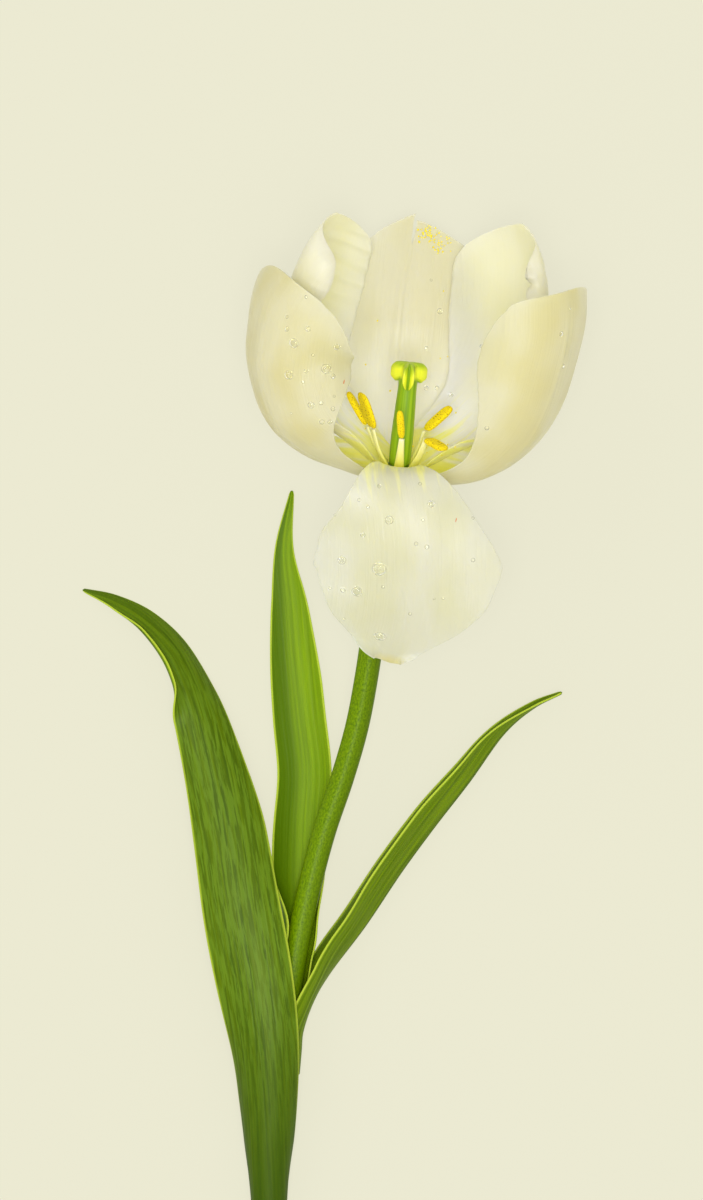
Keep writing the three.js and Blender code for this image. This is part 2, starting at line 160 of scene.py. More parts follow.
# %% Floor and light
FLOOR_SIZE = 6.0
FLOOR_COLOUR = "#5C5C54"
FLOOR_GLOW_COLOUR = "#F5F3DB"
FLOOR_GLOW = 0.76
SKY_COLOUR = "#FBF8EC"
SKY_STRENGTH = 0.65
LAMPS = {  # place and target in metres, width in metres, power in watts, colour
    "key_softbox": [(-0.6, 0.6, 0.8), (0, 0.05, 0.02), 0.6, 1.8, "#FFFDF6"],
    "front_softbox": [(0.03, -0.35, 1.2), (0, 0.08, 0.02), 0.6, 2.5, "#FFFDF6"],
    "top_softbox": [(0, -0.05, 1.7), (0, 0.08, 0.02), 0.5, 14.5, "#FFFDF8"],
}

floor_material, shader = plain_material("opal_acrylic", FLOOR_COLOUR, 0.6, 1.49)
shader.inputs["Emission Color"].default_value = linear(FLOOR_GLOW_COLOUR)
shader.inputs["Emission Strength"].default_value = FLOOR_GLOW
shader.inputs["Specular IOR Level"].default_value = 0

half_floor = FLOOR_SIZE / 2
floor_mesh = bpy.data.meshes.new("light_table")
floor_corners = [(x * half_floor, y * half_floor, 0) for x, y in ((-1, -1), (1, -1), (1, 1), (-1, 1))]
floor_mesh.from_pydata(floor_corners, [], [(0, 1, 2, 3)])
floor_mesh.materials.append(floor_material)
floor = bpy.data.objects.new("light_table", floor_mesh)
bpy.context.scene.collection.objects.link(floor)

world = bpy.data.worlds.new("pale_sky")
world.use_nodes = True
world.node_tree.nodes["Background"].inputs["Color"].default_value = linear(SKY_COLOUR)
world.node_tree.nodes["Background"].inputs["Strength"].default_value = SKY_STRENGTH
bpy.context.scene.world = world

for name, (place, target, width, power, colour) in LAMPS.items():
    data = bpy.data.lights.new(name, "AREA")
    data.size = width
    data.energy = power
    data.color = linear(colour)[:3]
    lamp = bpy.data.objects.new(name, data)
    lamp.location = place
    lamp.rotation_euler = (Vector(target) - Vector(place)).to_track_quat("-Z", "Y").to_euler()
    bpy.context.scene.collection.objects.link(lamp)
    print(name, power, "W")

# %% [markdown]
# Growth makes smooth lines, so two kinds of curve are enough. `through` runs through a few stops without
# overshooting them: it gives a width, a bend or a twist anywhere along an organ. `route` is a line in space
# through its points, measured along its length from 0 to 1.

# %% Curves
def through(stops):
    places, values = np.array(stops, float).T
    steps = np.diff(values) / np.diff(places)
    slopes = np.concatenate([steps[:1], steps, steps[-1:]])[:-1]
    before, after = steps[:-1], steps[1:]
    joined = np.where(before + after == 0, 1, before + after)
    slopes[1:-1] = np.where(before * after > 0, 2 * before * after / joined, 0)

    def value(x):
        x = np.clip(x, places[0], places[-1])
        i = np.clip(np.searchsorted(places, x, side="right") - 1, 0, len(places) - 2)
        span = places[i + 1] - places[i]
        t = (x - places[i]) / span
        return ((2 * t**3 - 3 * t**2 + 1) * values[i] + (t**3 - 2 * t**2 + t) * span * slopes[i]
                + (3 * t**2 - 2 * t**3) * values[i + 1] + (t**3 - t**2) * span * slopes[i + 1])

    return value


def route(points):
    knots = np.array(points, float)
    knots = np.vstack([2 * knots[0] - knots[1], knots, 2 * knots[-1] - knots[-2]])
    spans = len(knots) - 3

    def place(t):
        x = np.clip(t, 0, 1) * spans
        i = np.minimum(x.astype(int), spans - 1)
        f = (x - i)[:, None]
        a, b, c, d = (knots[i + k] for k in range(4))
        return ((2 * f**3 - 3 * f**2 + 1) * b + (f**3 - 2 * f**2 + f) * (c - a) / 2
                + (3 * f**2 - 2 * f**3) * c + (f**3 - f**2) * (d - b) / 2)

    samples = np.linspace(0, 1, 401)
    walked = np.concatenate([[0], np.cumsum(np.linalg.norm(np.diff(place(samples), axis=0), axis=1))])

    def at(s, ease=0.0005):
        """Points and unit directions at shares s of the length, and the length itself.

        A direction is taken over `ease` of the length to both sides: more makes it turn more gently.
        """
        t, before, after = (np.interp(np.clip(np.asarray(s, float) + d, 0, 1) * walked[-1], walked, samples)
                            for d in (0, -ease, ease))
        ahead = place(after) - place(before)
        return place(t), ahead / np.linalg.norm(ahead, axis=1, keepdims=True), walked[-1]

    return at


def unit(vectors):
    return vectors / np.linalg.norm(vectors, axis=-1, keepdims=True)


def dot(a, b):
    return np.sum(a * b, axis=-1, keepdims=True)


print("a route of 30 by 40 mm is", round(route([[0, 0, 0], [30, 40, 0]])(np.array([0.5]))[2], 3), "mm long")

# %% [markdown]
# Nothing that grew is quite even. A sum of a few sine waves with fixed phases gives the small wander of a
# margin or the run of fine veins, and it comes out the same each time the script runs.

# %% Natural unevenness
def wander(x, seed, waves=5, longest=1.0, shortest=0.12):
    """A smooth wavering around 0, at most about 1, with wavelengths from longest to shortest."""
    draw = np.random.default_rng(seed)
    lengths = np.geomspace(longest, shortest, waves)
    strengths = (lengths / longest) ** 0.6
    total = 0
    for length, strength in zip(lengths, strengths):
        total = total + np.sin(2 * np.pi * x / length + draw.uniform(0, 2 * np.pi)) * strength
    return total / np.sum(strengths)


print("a wander over four places:", wander(np.linspace(0, 1, 4), 1).round(2))

# %% [markdown]
# A petal or leaf is a sheet. Its middle surface starts from the midrib: at each place along it, a line runs
# out to both margins and bends by so much per millimetre (`cup`), starts at an angle (`keel`), or rolls up
# near the margin (`roll`). The blade is laid level and then turned about its own length (`turn`).

# %% The middle surface of a sheet
PLAIN = through([[0, 0], [1, 0]])
BLADE_DEFAULTS = dict(turn=PLAIN, keel=PLAIN, rolls=(PLAIN, PLAIN), roll_from=0.5, bends=(1, 1), curls=(),
                      lift=None, crowd=1.0, tip_rows=1.0, notch=None, ease=0.0005)
ACROSS_STEPS = 48


def blade_surface(blade, rows, columns):
    """A grid of points, rows from base to tip, columns from the left margin to the right."""
    blade = {**BLADE_DEFAULTS, **blade}
    v = np.linspace(-1, 1, 2 * columns + 1)
    v = np.sign(v) * np.abs(v) ** blade["crowd"]
    s = 1 - (1 - np.linspace(0, 1, rows + 1)) ** blade["tip_rows"]
    s, v = np.meshgrid(s, v, indexing="ij")
    if blade["notch"]:
        s = s - blade["notch"](v) * s**5
    point, along, length = route(blade["midrib"])(s.ravel(), blade["ease"])
    flat = blade["level"](along)
    facing = np.cross(flat, along)
    turn = np.radians(blade["turn"](s)).reshape(-1, 1)
    across = flat * np.cos(turn) + facing * np.sin(turn)
    inward = np.cross(across, along)

    side = np.where(v < 0, -1, 1)
    width = blade["width"](s, side)
    bend = blade["cup"](s) * np.where(v < 0, *blade["bends"])
    roll = np.where(v < 0, blade["rolls"][0](s), blade["rolls"][1](s))
    reach = np.abs(v)
    out = np.zeros(s.shape)
    rise = np.zeros(s.shape)
    for step in range(ACROSS_STEPS):
        u = (step + 0.5) / ACROSS_STEPS
        edge = max((u - blade["roll_from"]) / (1 - blade["roll_from"]), 0) ** 1.5
        angle = np.radians(blade["keel"](s) + roll * edge) + bend * width * u
        for curl in blade["curls"]:
            grip = max((u - curl["start"]) / (1 - curl["start"]), 0) ** 1.2
            here = np.exp(-((s - curl["at"]) / curl["reach"]) ** 2) * (side == curl["side"])
            angle = angle + np.radians(curl["angle"]) * grip * here
        stride = width * np.clip(reach - step / ACROSS_STEPS, 0, 1 / ACROSS_STEPS)
        out += np.cos(angle) * stride
        rise += np.sin(angle) * stride
    if blade["lift"]:
        rise = rise + blade["lift"](s, v)
    points = point + across * (side * out).reshape(-1, 1) + inward * rise.reshape(-1, 1)
    flow = np.stack([side * width * reach, s * length], axis=-1)
    return points.reshape(*s.shape, 3), flow, np.stack([v, s], axis=-1)


print("a sheet bends in", ACROSS_STEPS, "steps from its midrib to its margin")

# %% [markdown]
# The middle surface gets its thickness by moving a copy to each side, and a rounded rim joins the two, so
# the sheet is one closed solid. Each side can have a finish of its own. Two sets of coordinates are kept
# for the finishes: `Flow` is in millimetres across and along the organ, and `Share` runs from -1 to 1 and 0
# to 1.

# %% From a surface to a closed sheet
def grid_normals(grid):
    along = np.gradient(grid, axis=0)
    across = np.gradient(grid, axis=1)
    return unit(np.cross(across, along))


def grid_faces(rows, columns, first=0):
    a = first + (np.arange(rows - 1)[:, None] * columns + np.arange(columns - 1)).ravel()
    return np.stack([a, a + 1, a + columns + 1, a + columns], axis=1)


def closed_sheet(grid, flow, share, thickness, relief):
    """Points, faces, coordinates and the finish (0 inner side, 1 outer side) of each face."""
    rows, columns = grid.shape[:2]
    normal = grid_normals(grid)
    grid = grid + normal * relief[..., None]
    half = thickness[..., None] / 2
    inner = (grid + normal * half).reshape(-1, 3)
    outer = (grid - normal * half).reshape(-1, 3)
    index = np.arange(rows * columns).reshape(rows, columns)
    border = np.concatenate([index[0, :-1], index[:-1, -1], index[-1, :0:-1], index[:0:-1, 0]])
    i, j = np.divmod(border, columns)
    inside = grid[np.clip(i, 1, rows - 2), np.clip(j, 1, columns - 2)]
    outward = unit(grid[i, j] - inside)
    rim = grid[i, j] + outward * half[i, j] * 0.9
    count = rows * columns
    points = np.vstack([inner, outer, rim])
    around = np.roll(np.arange(len(border)), -1)
    rim_index = 2 * count + np.arange(len(border))
    faces = np.vstack([
        grid_faces(rows, columns),
        grid_faces(rows, columns, count)[:, ::-1],
        np.stack([border[around], border, rim_index, rim_index[around]], axis=1),
        np.stack([rim_index[around], rim_index, count + border, count + border[around]], axis=1),
    ])
    finish = np.zeros(len(faces), int)
    finish[(rows - 1) * (columns - 1):] = 1
    sides = 2 * (rows - 1) * (columns - 1)
    finish[sides:sides + len(border)] = 0
    coordinates = [np.vstack([c.reshape(-1, 2), c.reshape(-1, 2), c[i, j]]) for c in (flow, share)]
    return points, faces, coordinates, finish


print("a grid of 3 by 4 points has", len(grid_faces(3, 4)), "faces on each side")

# %% [markdown]
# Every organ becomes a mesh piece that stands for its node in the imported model. Its points are already
# where they belong, so the object itself stays at the origin.

# %% From points to a piece
def make_piece(name, points, faces, materials, finish=None, coordinates=(), replaces=()):
    mesh = bpy.data.meshes.new(name)
    mesh.from_pydata([tuple(p) for p in to_metres(points)], [], [tuple(int(k) for k in f) for f in faces])
    for material in materials:
        mesh.materials.append(material)
    if finish is not None:
        mesh.polygons.foreach_set("material_index", np.asarray(finish, np.int32))
    corners = np.empty(len(mesh.loops), np.int32)
    mesh.loops.foreach_get("vertex_index", corners)
    for label, values in zip(("Flow", "Share"), coordinates):
        layer = mesh.uv_layers.new(name=label)
        layer.data.foreach_set("uv", np.asarray(values, np.float32)[corners].ravel())
    mesh.polygons.foreach_set("use_smooth", np.ones(len(mesh.polygons), bool))
    mesh.update()
    piece = bpy.data.objects.new(name, mesh)
    bpy.context.scene.collection.objects.link(piece)
    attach(piece, "root")
    if replaces:
        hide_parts(*replaces)
    print(name, len(mesh.polygons), "faces")
    return piece


# %% [markdown]
# ## Petal tissue
# A white tulip petal is two skins of small domed cells over a spongy middle full of air, which scatters
# light and makes it cream white and translucent. Long fine veins run from base to tip. The outer side
# carries a few grooves beside the midrib and the inner side a yellow patch at the base that fades out in
# feathered rays. Light that enters the tissue comes out again nearby, or on the other side of so thin a
# sheet, so the shader gets subsurface scattering with a reach of more than the petal's thickness. Wax on
# the skin gives a soft, wide highlight, so the roughness is 0.42, and the IOR is that of watery tissue. The
# petals differ in age and side: each has a cream for the air-filled cells and a yellower tone for where the
# tissue is denser. The tones also carry painted light and shade: the inner faces down in the cup are near
# white, the fallen petal that lies open to the lamps is darker, the upper parts are darker than the bases,
# and the outside of the inner petals is lighter, so that their rolled margins in shade come out bright.

# %% Petal materials
# painted light: the inner faces are white tissue, set near the top of the range to lift the shaded cup
PETAL_INNER = ("#FBFAF0", "#F9F7E6")
PETAL_FALLEN_PAINTED_SHADE = ("#C9C9BA", "#C4C4AD")    # the fallen petal is older, but its darker tone is painted shade for the lamps it lies open to
PETAL_OUTER = ("#D2CDAE", "#CBC49A")
PETAL_BACK_CREAM_AND_PAINTED_LIGHT = ("#F0EBCE", "#EAE4BE")      # outside of the inner petals, where the yellow patch shows through; its lighter cream is painted light for their shaded rolled margins
PETAL_YELLOW = "#FFFB7C"
PETAL_TOP_PAINTED_SHADE = "#D0CEC6"              # painted shade: the upper part is this much darker than the base
# painted shade on the upper part of the inner petals, lighter since they get less light
PETAL_TOP_LIGHTER_PAINTED_SHADE = "#F2F0DA"
PETAL_WILTED = "#C9BE86"
VEIN_SPACING = 0.6                       # mm between fine veins, twice the real spacing so that they show
CLOUD_SPACING = 14.0                     # mm between paler and yellower parts of the tissue
RAY_SPACING = 2.4                        # mm between the rays at the rim of the yellow patch


def skin_maps(tree):
    """The `Flow` coordinates of an organ in mm, and the X and Y of its `Share`."""
    flow = add(tree, "UVMap", {"uv_map": "Flow"}).outputs[0]
    share = add(tree, "UVMap", {"uv_map": "Share"}).outputs[0]
    return flow, add(tree, "SeparateXYZ", feeds={"Vector": share}).outputs


def vein_pattern(tree, flow, spacing, stretch, detail=3.0):
    """Noise drawn out along the organ: a wave every `spacing` mm or so, and `stretch` times as long."""
    place = add(tree, "Mapping", feeds={"Vector": flow, "Scale": (1 / spacing, 1 / (spacing * stretch), 1)})
    return add(tree, "TexNoise", {"noise_dimensions": "2D"},
               {"Vector": place.outputs[0], "Scale": 1.0, "Detail": detail,
                "Roughness": 0.6}).outputs["Fac"]


def petal_material(name, tones, yellow_patch=True, upper="#FFFFFF", wilted_tip=None):
    cream, shade = tones
    material, tree, shader = start_material(name, 0.42, 1.4, Subsurface_Weight=0.8, Subsurface_Scale=0.001,
                                            Sheen_Weight=0.12, Sheen_Roughness=0.4)
    shader.inputs["Subsurface Radius"].default_value = (2.4, 2.2, 1.4)
    flow, share = skin_maps(tree)
    fine = vein_pattern(tree, flow, VEIN_SPACING, 40)
    clouds = vein_pattern(tree, flow, CLOUD_SPACING, 1.6, 1.0)
    tint = add(tree, "ValToRGB", feeds={"Fac": clouds}, ramp=[(0.3, linear(shade)), (0.62, linear(cream))])
    lines = add(tree, "MapRange", feeds={"Value": fine, 1: 0.3, 2: 0.7, 3: 0.985, 4: 1.0})
    colour = add(tree, "Mix", {"data_type": "RGBA", "blend_type": "MULTIPLY"},
                 {0: 1.0, 6: tint.outputs["Color"], 7: lines.outputs["Result"]}).outputs[2]
    if yellow_patch:
        # painted shade: above the yellow patch the colour is multiplied darker towards the petal's top
        top_painted_shade = add(tree, "ValToRGB", feeds={"Fac": share["Y"]}, ramp=[(0.3, 1), (0.62, linear(upper))])
        colour = add(tree, "Mix", {"data_type": "RGBA", "blend_type": "MULTIPLY"},
                     {0: 1.0, 6: colour, 7: top_painted_shade.outputs["Color"]}).outputs[2]
        rays = vein_pattern(tree, flow, RAY_SPACING, 9, 2.0)
        reach = add(tree, "MapRange", feeds={"Value": rays, 1: 0.32, 2: 0.68, 3: -0.08, 4: 0.08})
        level = add(tree, "Math", {"operation": "ADD"}, {0: share["Y"], 1: reach.outputs["Result"]})
        patch = add(tree, "ValToRGB", feeds={"Fac": level.outputs[0]},
                    ramp=[(0.0, 1), (0.1, 0.85), (0.17, 0.3), (0.26, 0)])
        colour = add(tree, "Mix", {"data_type": "RGBA"},
                     {0: patch.outputs["Color"], 6: colour, 7: linear(PETAL_YELLOW)}).outputs[2]
    if wilted_tip:
        dry = add(tree, "MapRange", feeds={"Value": share["Y"], 1: 0.95, 2: 0.99, 3: 0.0, 4: 0.8})
        colour = add(tree, "Mix", {"data_type": "RGBA"},
                     {0: dry.outputs["Result"], 6: colour, 7: linear(wilted_tip)}).outputs[2]
    finish_skin(tree, shader, colour, fine, 0.35, 0.2)
    return material


inner_skin = petal_material("petal_skin_inner", PETAL_INNER, upper=PETAL_TOP_PAINTED_SHADE)
side_skin = petal_material("petal_skin_inner_of_inner_petals", PETAL_INNER, upper=PETAL_TOP_LIGHTER_PAINTED_SHADE)
fallen_skin = petal_material("petal_skin_inner_fallen", PETAL_FALLEN_PAINTED_SHADE, wilted_tip=PETAL_WILTED)
outer_skin = petal_material("petal_skin_outer", PETAL_OUTER, yellow_patch=False)
back_skin = petal_material("petal_skin_outer_of_inner_petals", PETAL_BACK_CREAM_AND_PAINTED_LIGHT)
print("five petal skins, with a vein every", VEIN_SPACING, "mm")

# %% [markdown]
# The flower leans a little from the stem's line and its axis rises from the table. Petals are drawn round
# that axis: each midrib is a list of distances out from the axis, sideways, and up it. The half width comes
# from a claw at the base, a widest place and a rounded tip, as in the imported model.

# %% The flower's own frame
FLOWER_LEAN = 6                          # degrees to the right
FLOWER_TILT = 18                         # degrees up from the table
FLOWER_SEAT = np.array([12.2, 33.3, 28])
TIP_SHARE = 0.05                         # width of the very tip, as a share of the widest place
MARGIN_WAVER = 0.012


def about_x(degrees):
    c, s = math.cos(math.radians(degrees)), math.sin(math.radians(degrees))
    return np.array([[1, 0, 0], [0, c, -s], [0, s, c]])


def about_z(degrees):
    c, s = math.cos(math.radians(degrees)), math.sin(math.radians(degrees))
    return np.array([[c, -s, 0], [s, c, 0], [0, 0, 1]])


FLOWER_TURN = about_z(-FLOWER_LEAN) @ about_x(FLOWER_TILT - 90)


def in_flower(points, azimuth=0):
    return np.asarray(points) @ (FLOWER_TURN @ about_z(azimuth)).T + FLOWER_SEAT


def petal_width(half, claw, fullest, spread, tip, left=1.0, right=1.0, trim=(None, None), seed=0):
    """Half the width of a petal at s. `trim` says what share of it is left, in each half."""
    trims = [through(stops) if stops else (lambda s: 1) for stops in trim]

    def width(s, side):
        power = np.where(side < 0, *spread)
        low = claw + (1 - claw) * np.sin(np.pi / 2 * np.minimum(s / fullest, 1)) ** power
        t = np.clip((s - fullest) / (1 - fullest), 0, 1)
        high = np.sqrt(np.maximum(1 - (1 - TIP_SHARE**2) * t**tip, 0))
        shape = half * np.where(s < fullest, low, high) * np.where(side < 0, left, right)
        waver = np.where(side < 0, wander(s, seed, 5, 0.3, 0.035), wander(s, seed + 1, 5, 0.3, 0.035))
        return shape * np.where(side < 0, trims[0](s), trims[1](s)) * (1 + MARGIN_WAVER * waver)

    return width


print("the flower's axis points to", (FLOWER_TURN @ [0, 0, 1]).round(2))

# %% [markdown]
# The petals differ as they do on a flower that is past its prime: one has a notch at its tip, one rolls its
# margin inwards, one curls at the edge, and the front one has fallen forward over the stem and shows its
# inner face. `relief` lifts the surface by tenths of a millimetre: grooves beside the midrib, pleats, and
# veins.

# %% The petals' shapes
def rounded(v, left, right):
    """How far the tip falls back towards each margin, as a share of the length."""
    return np.where(v < 0, left, right) * (1 - np.sqrt(1 - v**2))


PETALS = {
    "petal_back_centre": dict(
        azimuth=94,
        midrib=[[4.6, 0, -2.8], [12, 0, -0.6], [22, 0, 4.2], [31, 0, 13], [37, 0, 25], [39, 0, 37],
                [38, 0, 49], [35, 0, 60.5]],
        outline=dict(half=25.5, claw=0.2, fullest=0.62, spread=(1, 1), tip=3.2,
                     trim=([[0, 0.95], [0.3, 0.85], [0.5, 0.75], [0.65, 0.62], [0.8, 0.6], [1, 0.58]],
                           [[0, 1], [0.5, 0.97], [0.6, 0.93], [0.8, 0.94], [0.88, 0.88], [0.94, 0.82],
                            [1, 0.8]])),
        cup=[[0, 1 / 6], [0.25, 1 / 22], [0.7, 1 / 45], [1, 1 / 60]],
        notch=lambda v: (0.115 * np.maximum(1 - np.abs(v) / 0.06, 0) + 0.025 * np.clip(v / 0.05, 0, 1)
                         + rounded(v, 0.14, 0.16)),
        creases=[[0, 0.2, 0, 0.95, 0.3, 0.5], [1.6, 0.3, 1.2, 0.9, 0.12, 0.7],
                 [-2, 0.3, -1.4, 0.9, 0.12, 0.8]]),
    "petal_front_left": dict(
        azimuth=-165,
        midrib=[[4.6, 0, -2.8], [15, 0, 0.5], [26, 0, 4.7], [35, 0, 12.4], [40.4, 0, 26], [40.7, 0, 36],
                [39.2, 0, 45], [35.6, 0, 52.5]],
        outline=dict(half=27.5, claw=0.22, fullest=0.58, spread=(1.9, 0.85), tip=3.4,
                     trim=([[0, 1], [0.2, 0.85], [0.3, 0.9], [0.4, 0.98], [0.5, 0.98], [0.6, 1.03],
                            [0.8, 1.1], [0.88, 1.18], [0.94, 1.33], [0.98, 1.65], [1, 2.6]],
                           None)),
        cup=[[0, 1 / 6], [0.3, 1 / 17], [0.7, 1 / 16], [0.85, 1 / 19], [1, 1 / 24]],
        bends=(1, 0.55),
        turn=[[0, 0], [0.3, -12], [1, -12]],
        creases=[[0, 0.1, 0.4, 1, 0.35, 0.3], [1.9, 0.1, 1.2, 1, 0.35, 0.35], [-2, 0.1, -1, 1, 0.35, 0.35],
                 [4.2, 0.15, 2.4, 0.95, 0.22, 0.4], [-4.4, 0.15, -2.6, 0.9, 0.2, 0.45]]),
    "petal_front_right": dict(
        azimuth=-20,
        midrib=[[4.6, 0, -2.8], [13, 0, -0.7], [20.6, 0, 1.8], [28, 0, 6.8], [34.5, 0, 14.9], [38.5, 0, 24],
                [40.7, 0, 35], [41.8, 0, 46], [40.6, 0, 57]],
        outline=dict(half=27.5, claw=0.22, fullest=0.58, spread=(0.85, 1.8), tip=3.8,
                     trim=([[0, 1.3], [0.15, 1.2], [0.3, 1.05], [0.45, 1], [1, 1]],
                           [[0, 1], [0.2, 0.85], [0.3, 0.73], [0.4, 0.7], [0.5, 0.73], [0.6, 0.8],
                            [0.7, 0.88], [0.88, 0.96], [0.94, 1.05], [0.98, 1.38], [1, 1.9]])),
        cup=[[0, 1 / 6], [0.3, 1 / 17], [0.7, 1 / 16], [1, 1 / 17]],
        bends=(0.55, 1),
        turn=[[0, 0], [0.3, 12], [1, 12]],
        creases=[[0, 0.1, 0.4, 1, 0.35, 0.3], [-1.9, 0.1, -1.2, 1, 0.35, 0.35], [2, 0.1, 1, 1, 0.3, 0.35],
                 [-4.2, 0.15, -2.4, 0.95, 0.22, 0.4]]),
    "petal_back_left": dict(
        azimuth=150,
        midrib=[[4.75, 0, 0.5], [11, 0, 3.8], [20, 0, 9], [28.5, 0, 18], [33, 0, 30], [33.5, 0, 44],
                [30.5, 0, 56], [26.5, 0, 64]],
        outline=dict(half=24, claw=0.3, fullest=0.64, spread=(0.7, 1.4), tip=4.2, left=1.12, right=0.88,
                     trim=([[0, 0.8], [0.3, 0.92], [0.45, 1], [0.7, 1], [0.85, 1.12], [1, 1.3]],
                           [[0, 1], [0.3, 0.78], [0.4, 0.75], [0.5, 0.85], [0.6, 0.93], [0.7, 1],
                            [0.8, 1], [1, 0.98]])),
        notch=lambda v: rounded(v, 0.05, 0.16),
        cup=[[0, 1 / 8], [0.3, 1 / 28], [0.7, 1 / 36], [1, 1 / 28]],
        rolls=([[0, 0], [0.35, 10], [0.6, 75], [0.9, 95], [1, 80]], None),
        roll_from=0.4,
        pleats=[0.55, 0.97, 0.3, 5]),
    "petal_back_right": dict(
        azimuth=30,
        midrib=[[4.75, 0, 0.5], [11, 0, 3.8], [20, 0, 9], [28.5, 0, 18], [33, 0, 30], [34, 0, 44],
                [32.5, 0, 57], [29, 0, 66]],
        outline=dict(half=25.5, claw=0.3, fullest=0.64, spread=(1, 0.7), tip=3.6,
                     trim=([[0, 1], [0.3, 0.9], [0.5, 1], [0.7, 1.06], [0.88, 1.03], [1, 0.95]],
                           [[0, 0.8], [0.3, 0.92], [0.45, 1], [1, 1]])),
        notch=lambda v: rounded(v, 0.18, 0.1),
        cup=[[0, 1 / 8], [0.3, 1 / 28], [0.7, 1 / 36], [1, 1 / 28]],
        rolls=(None, [[0, 0], [0.68, 0], [0.85, 45], [1, 70]]),
        curls=[dict(side=1, at=0.965, reach=0.02, start=0.7, angle=140),
               dict(side=1, at=0.92, reach=0.022, start=0.72, angle=100),
               dict(side=1, at=0.86, reach=0.028, start=0.72, angle=165),
               dict(side=1, at=0.79, reach=0.03, start=0.8, angle=100)],
        creases=[[0, 0.3, 0, 0.9, 0.12, 0.8]],
        pleats=[0.6, 0.95, 0.14, 6]),
    "petal_front": dict(
        azimuth=-91,
        midrib=[[4.75, 0, 0.7], [12, 0, 4.6], [20, 0.5, 5.2], [25, 2.4, 0], [28, 4.8, -12], [27, 6, -26],
                [22.9, 5.4, -37.4], [18.4, 3.4, -46]],
        outline=dict(half=24.8, claw=0.15, fullest=0.58, spread=(1.7, 1.7), tip=0.95, left=0.95,
                     trim=([[0, 1], [0.3, 0.9], [0.4, 0.88], [0.5, 0.95], [0.6, 1.05], [0.7, 1.07],
                            [0.8, 0.9], [0.88, 0.7], [0.94, 0.6], [1, 0.6]],
                           [[0, 0.9], [0.2, 0.85], [0.3, 0.93], [0.4, 1.05], [0.5, 1], [0.6, 1],
                            [0.7, 1.07], [0.8, 1.12], [0.88, 1.05], [0.94, 0.95], [1, 0.8]])),
        cup=[[0, 1 / 5.5], [0.2, 1 / 60], [0.35, -1 / 60], [0.6, -1 / 90], [1, 1 / 60]],
        curls=[dict(side=-1, at=0.965, reach=0.025, start=0.2, angle=110),
               dict(side=1, at=0.95, reach=0.03, start=0.35, angle=110)],
        creases=[[0, 0.15, 0, 0.95, 0.12, 1.2], [2.6, 0.6, -1.6, 0.86, 0.2, 0.6],
                 [-7, 0.5, -9, 0.85, 0.25, 2.2]]),
}
print(len(PETALS), "petals")

# %% [markdown]
# A living petal is about half a millimetre thick at the midrib and half that at the margin, thinner than
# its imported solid, and the finer sheet lies inside that solid.

# %% Build the petals
PETAL_ROWS = 150
PETAL_COLUMNS = 44
PETAL_EASE = 0.13                        # a petal's directions turn this gently, as a share of its length
PETAL_THICKNESS = 0.55                   # mm at the midrib, and by how much less at the margin and the tip
THINNER_MARGIN = 0.3
THINNER_TIP = 0.1
PETAL_VEIN_DEPTH = 0.012
PETAL_FOLD_DEPTH = 0.15
PETAL_RIGHT = np.array([0.0, -1.0, 0.0])
PETAL_SKINS = {  # inner and outer side
    "petal_back_centre": [inner_skin, outer_skin],
    "petal_front_left": [inner_skin, outer_skin],
    "petal_front_right": [inner_skin, outer_skin],
    "petal_back_left": [side_skin, back_skin],
    "petal_back_right": [side_skin, back_skin],
    "petal_front": [fallen_skin, outer_skin],
}


def petal_level(along):
    return unit(PETAL_RIGHT - along * dot(along, PETAL_RIGHT))


def petal_relief(seed, flow, share, creases=(), pleats=None):
    """Grooves, cross pleats, soft folds and fine veins, in mm along the surface normal.

    A crease runs from (mm across, s) to (mm across, s), with its depth and half width in mm.
    """
    across, along = flow[..., 0], flow[..., 1]
    v, s = share[..., 0], share[..., 1]
    drift = across + 0.6 * wander(along, seed + 1, 3, 60, 20)
    veins = PETAL_VEIN_DEPTH * wander(drift, seed + 2, 4, 3.2, 1.3)
    shifted = across + 2 * wander(along, seed + 3, 2, 70, 40)
    folds = PETAL_FOLD_DEPTH * wander(shifted, seed + 4, 3, 22, 8)
    fade = np.clip(s / 0.15, 0, 1) * (1 - s**6)
    relief = (veins + folds) * fade
    for start, s_start, end, s_end, depth, half_width in creases:
        way = np.clip((s - s_start) / (s_end - s_start), 0, 1)
        line = start + (end - start) * way + 0.3 * wander(along, seed + 5, 2, 50, 20)
        ends = np.clip(4 * way, 0, 1) * np.clip(4 * (1 - way), 0, 1)
        relief = relief - depth * ends * np.exp(-((across - line) / half_width) ** 2)
    if pleats:
        s_start, s_end, depth, spacing = pleats
        zone = np.clip((s - s_start) / 0.1, 0, 1) * np.clip((s_end - s) / 0.1, 0, 1)
        zone = zone * np.clip(v * 3 + 0.6, 0, 1)
        phase = 2 * np.pi * (along + 0.35 * across) / spacing + 1.5 * wander(along, seed + 6, 2, 40, 15)
        relief = relief + depth * zone * np.sin(phase)
    return relief


def blade_curves(shape):
    """The curves of a shape's bends, turns and rolls, through their stops."""
    curves = {key: through(shape[key]) for key in ("cup", "turn", "keel") if key in shape}
    if "rolls" in shape:
        curves["rolls"] = tuple(through(stops) if stops else PLAIN for stops in shape["rolls"])
    return curves


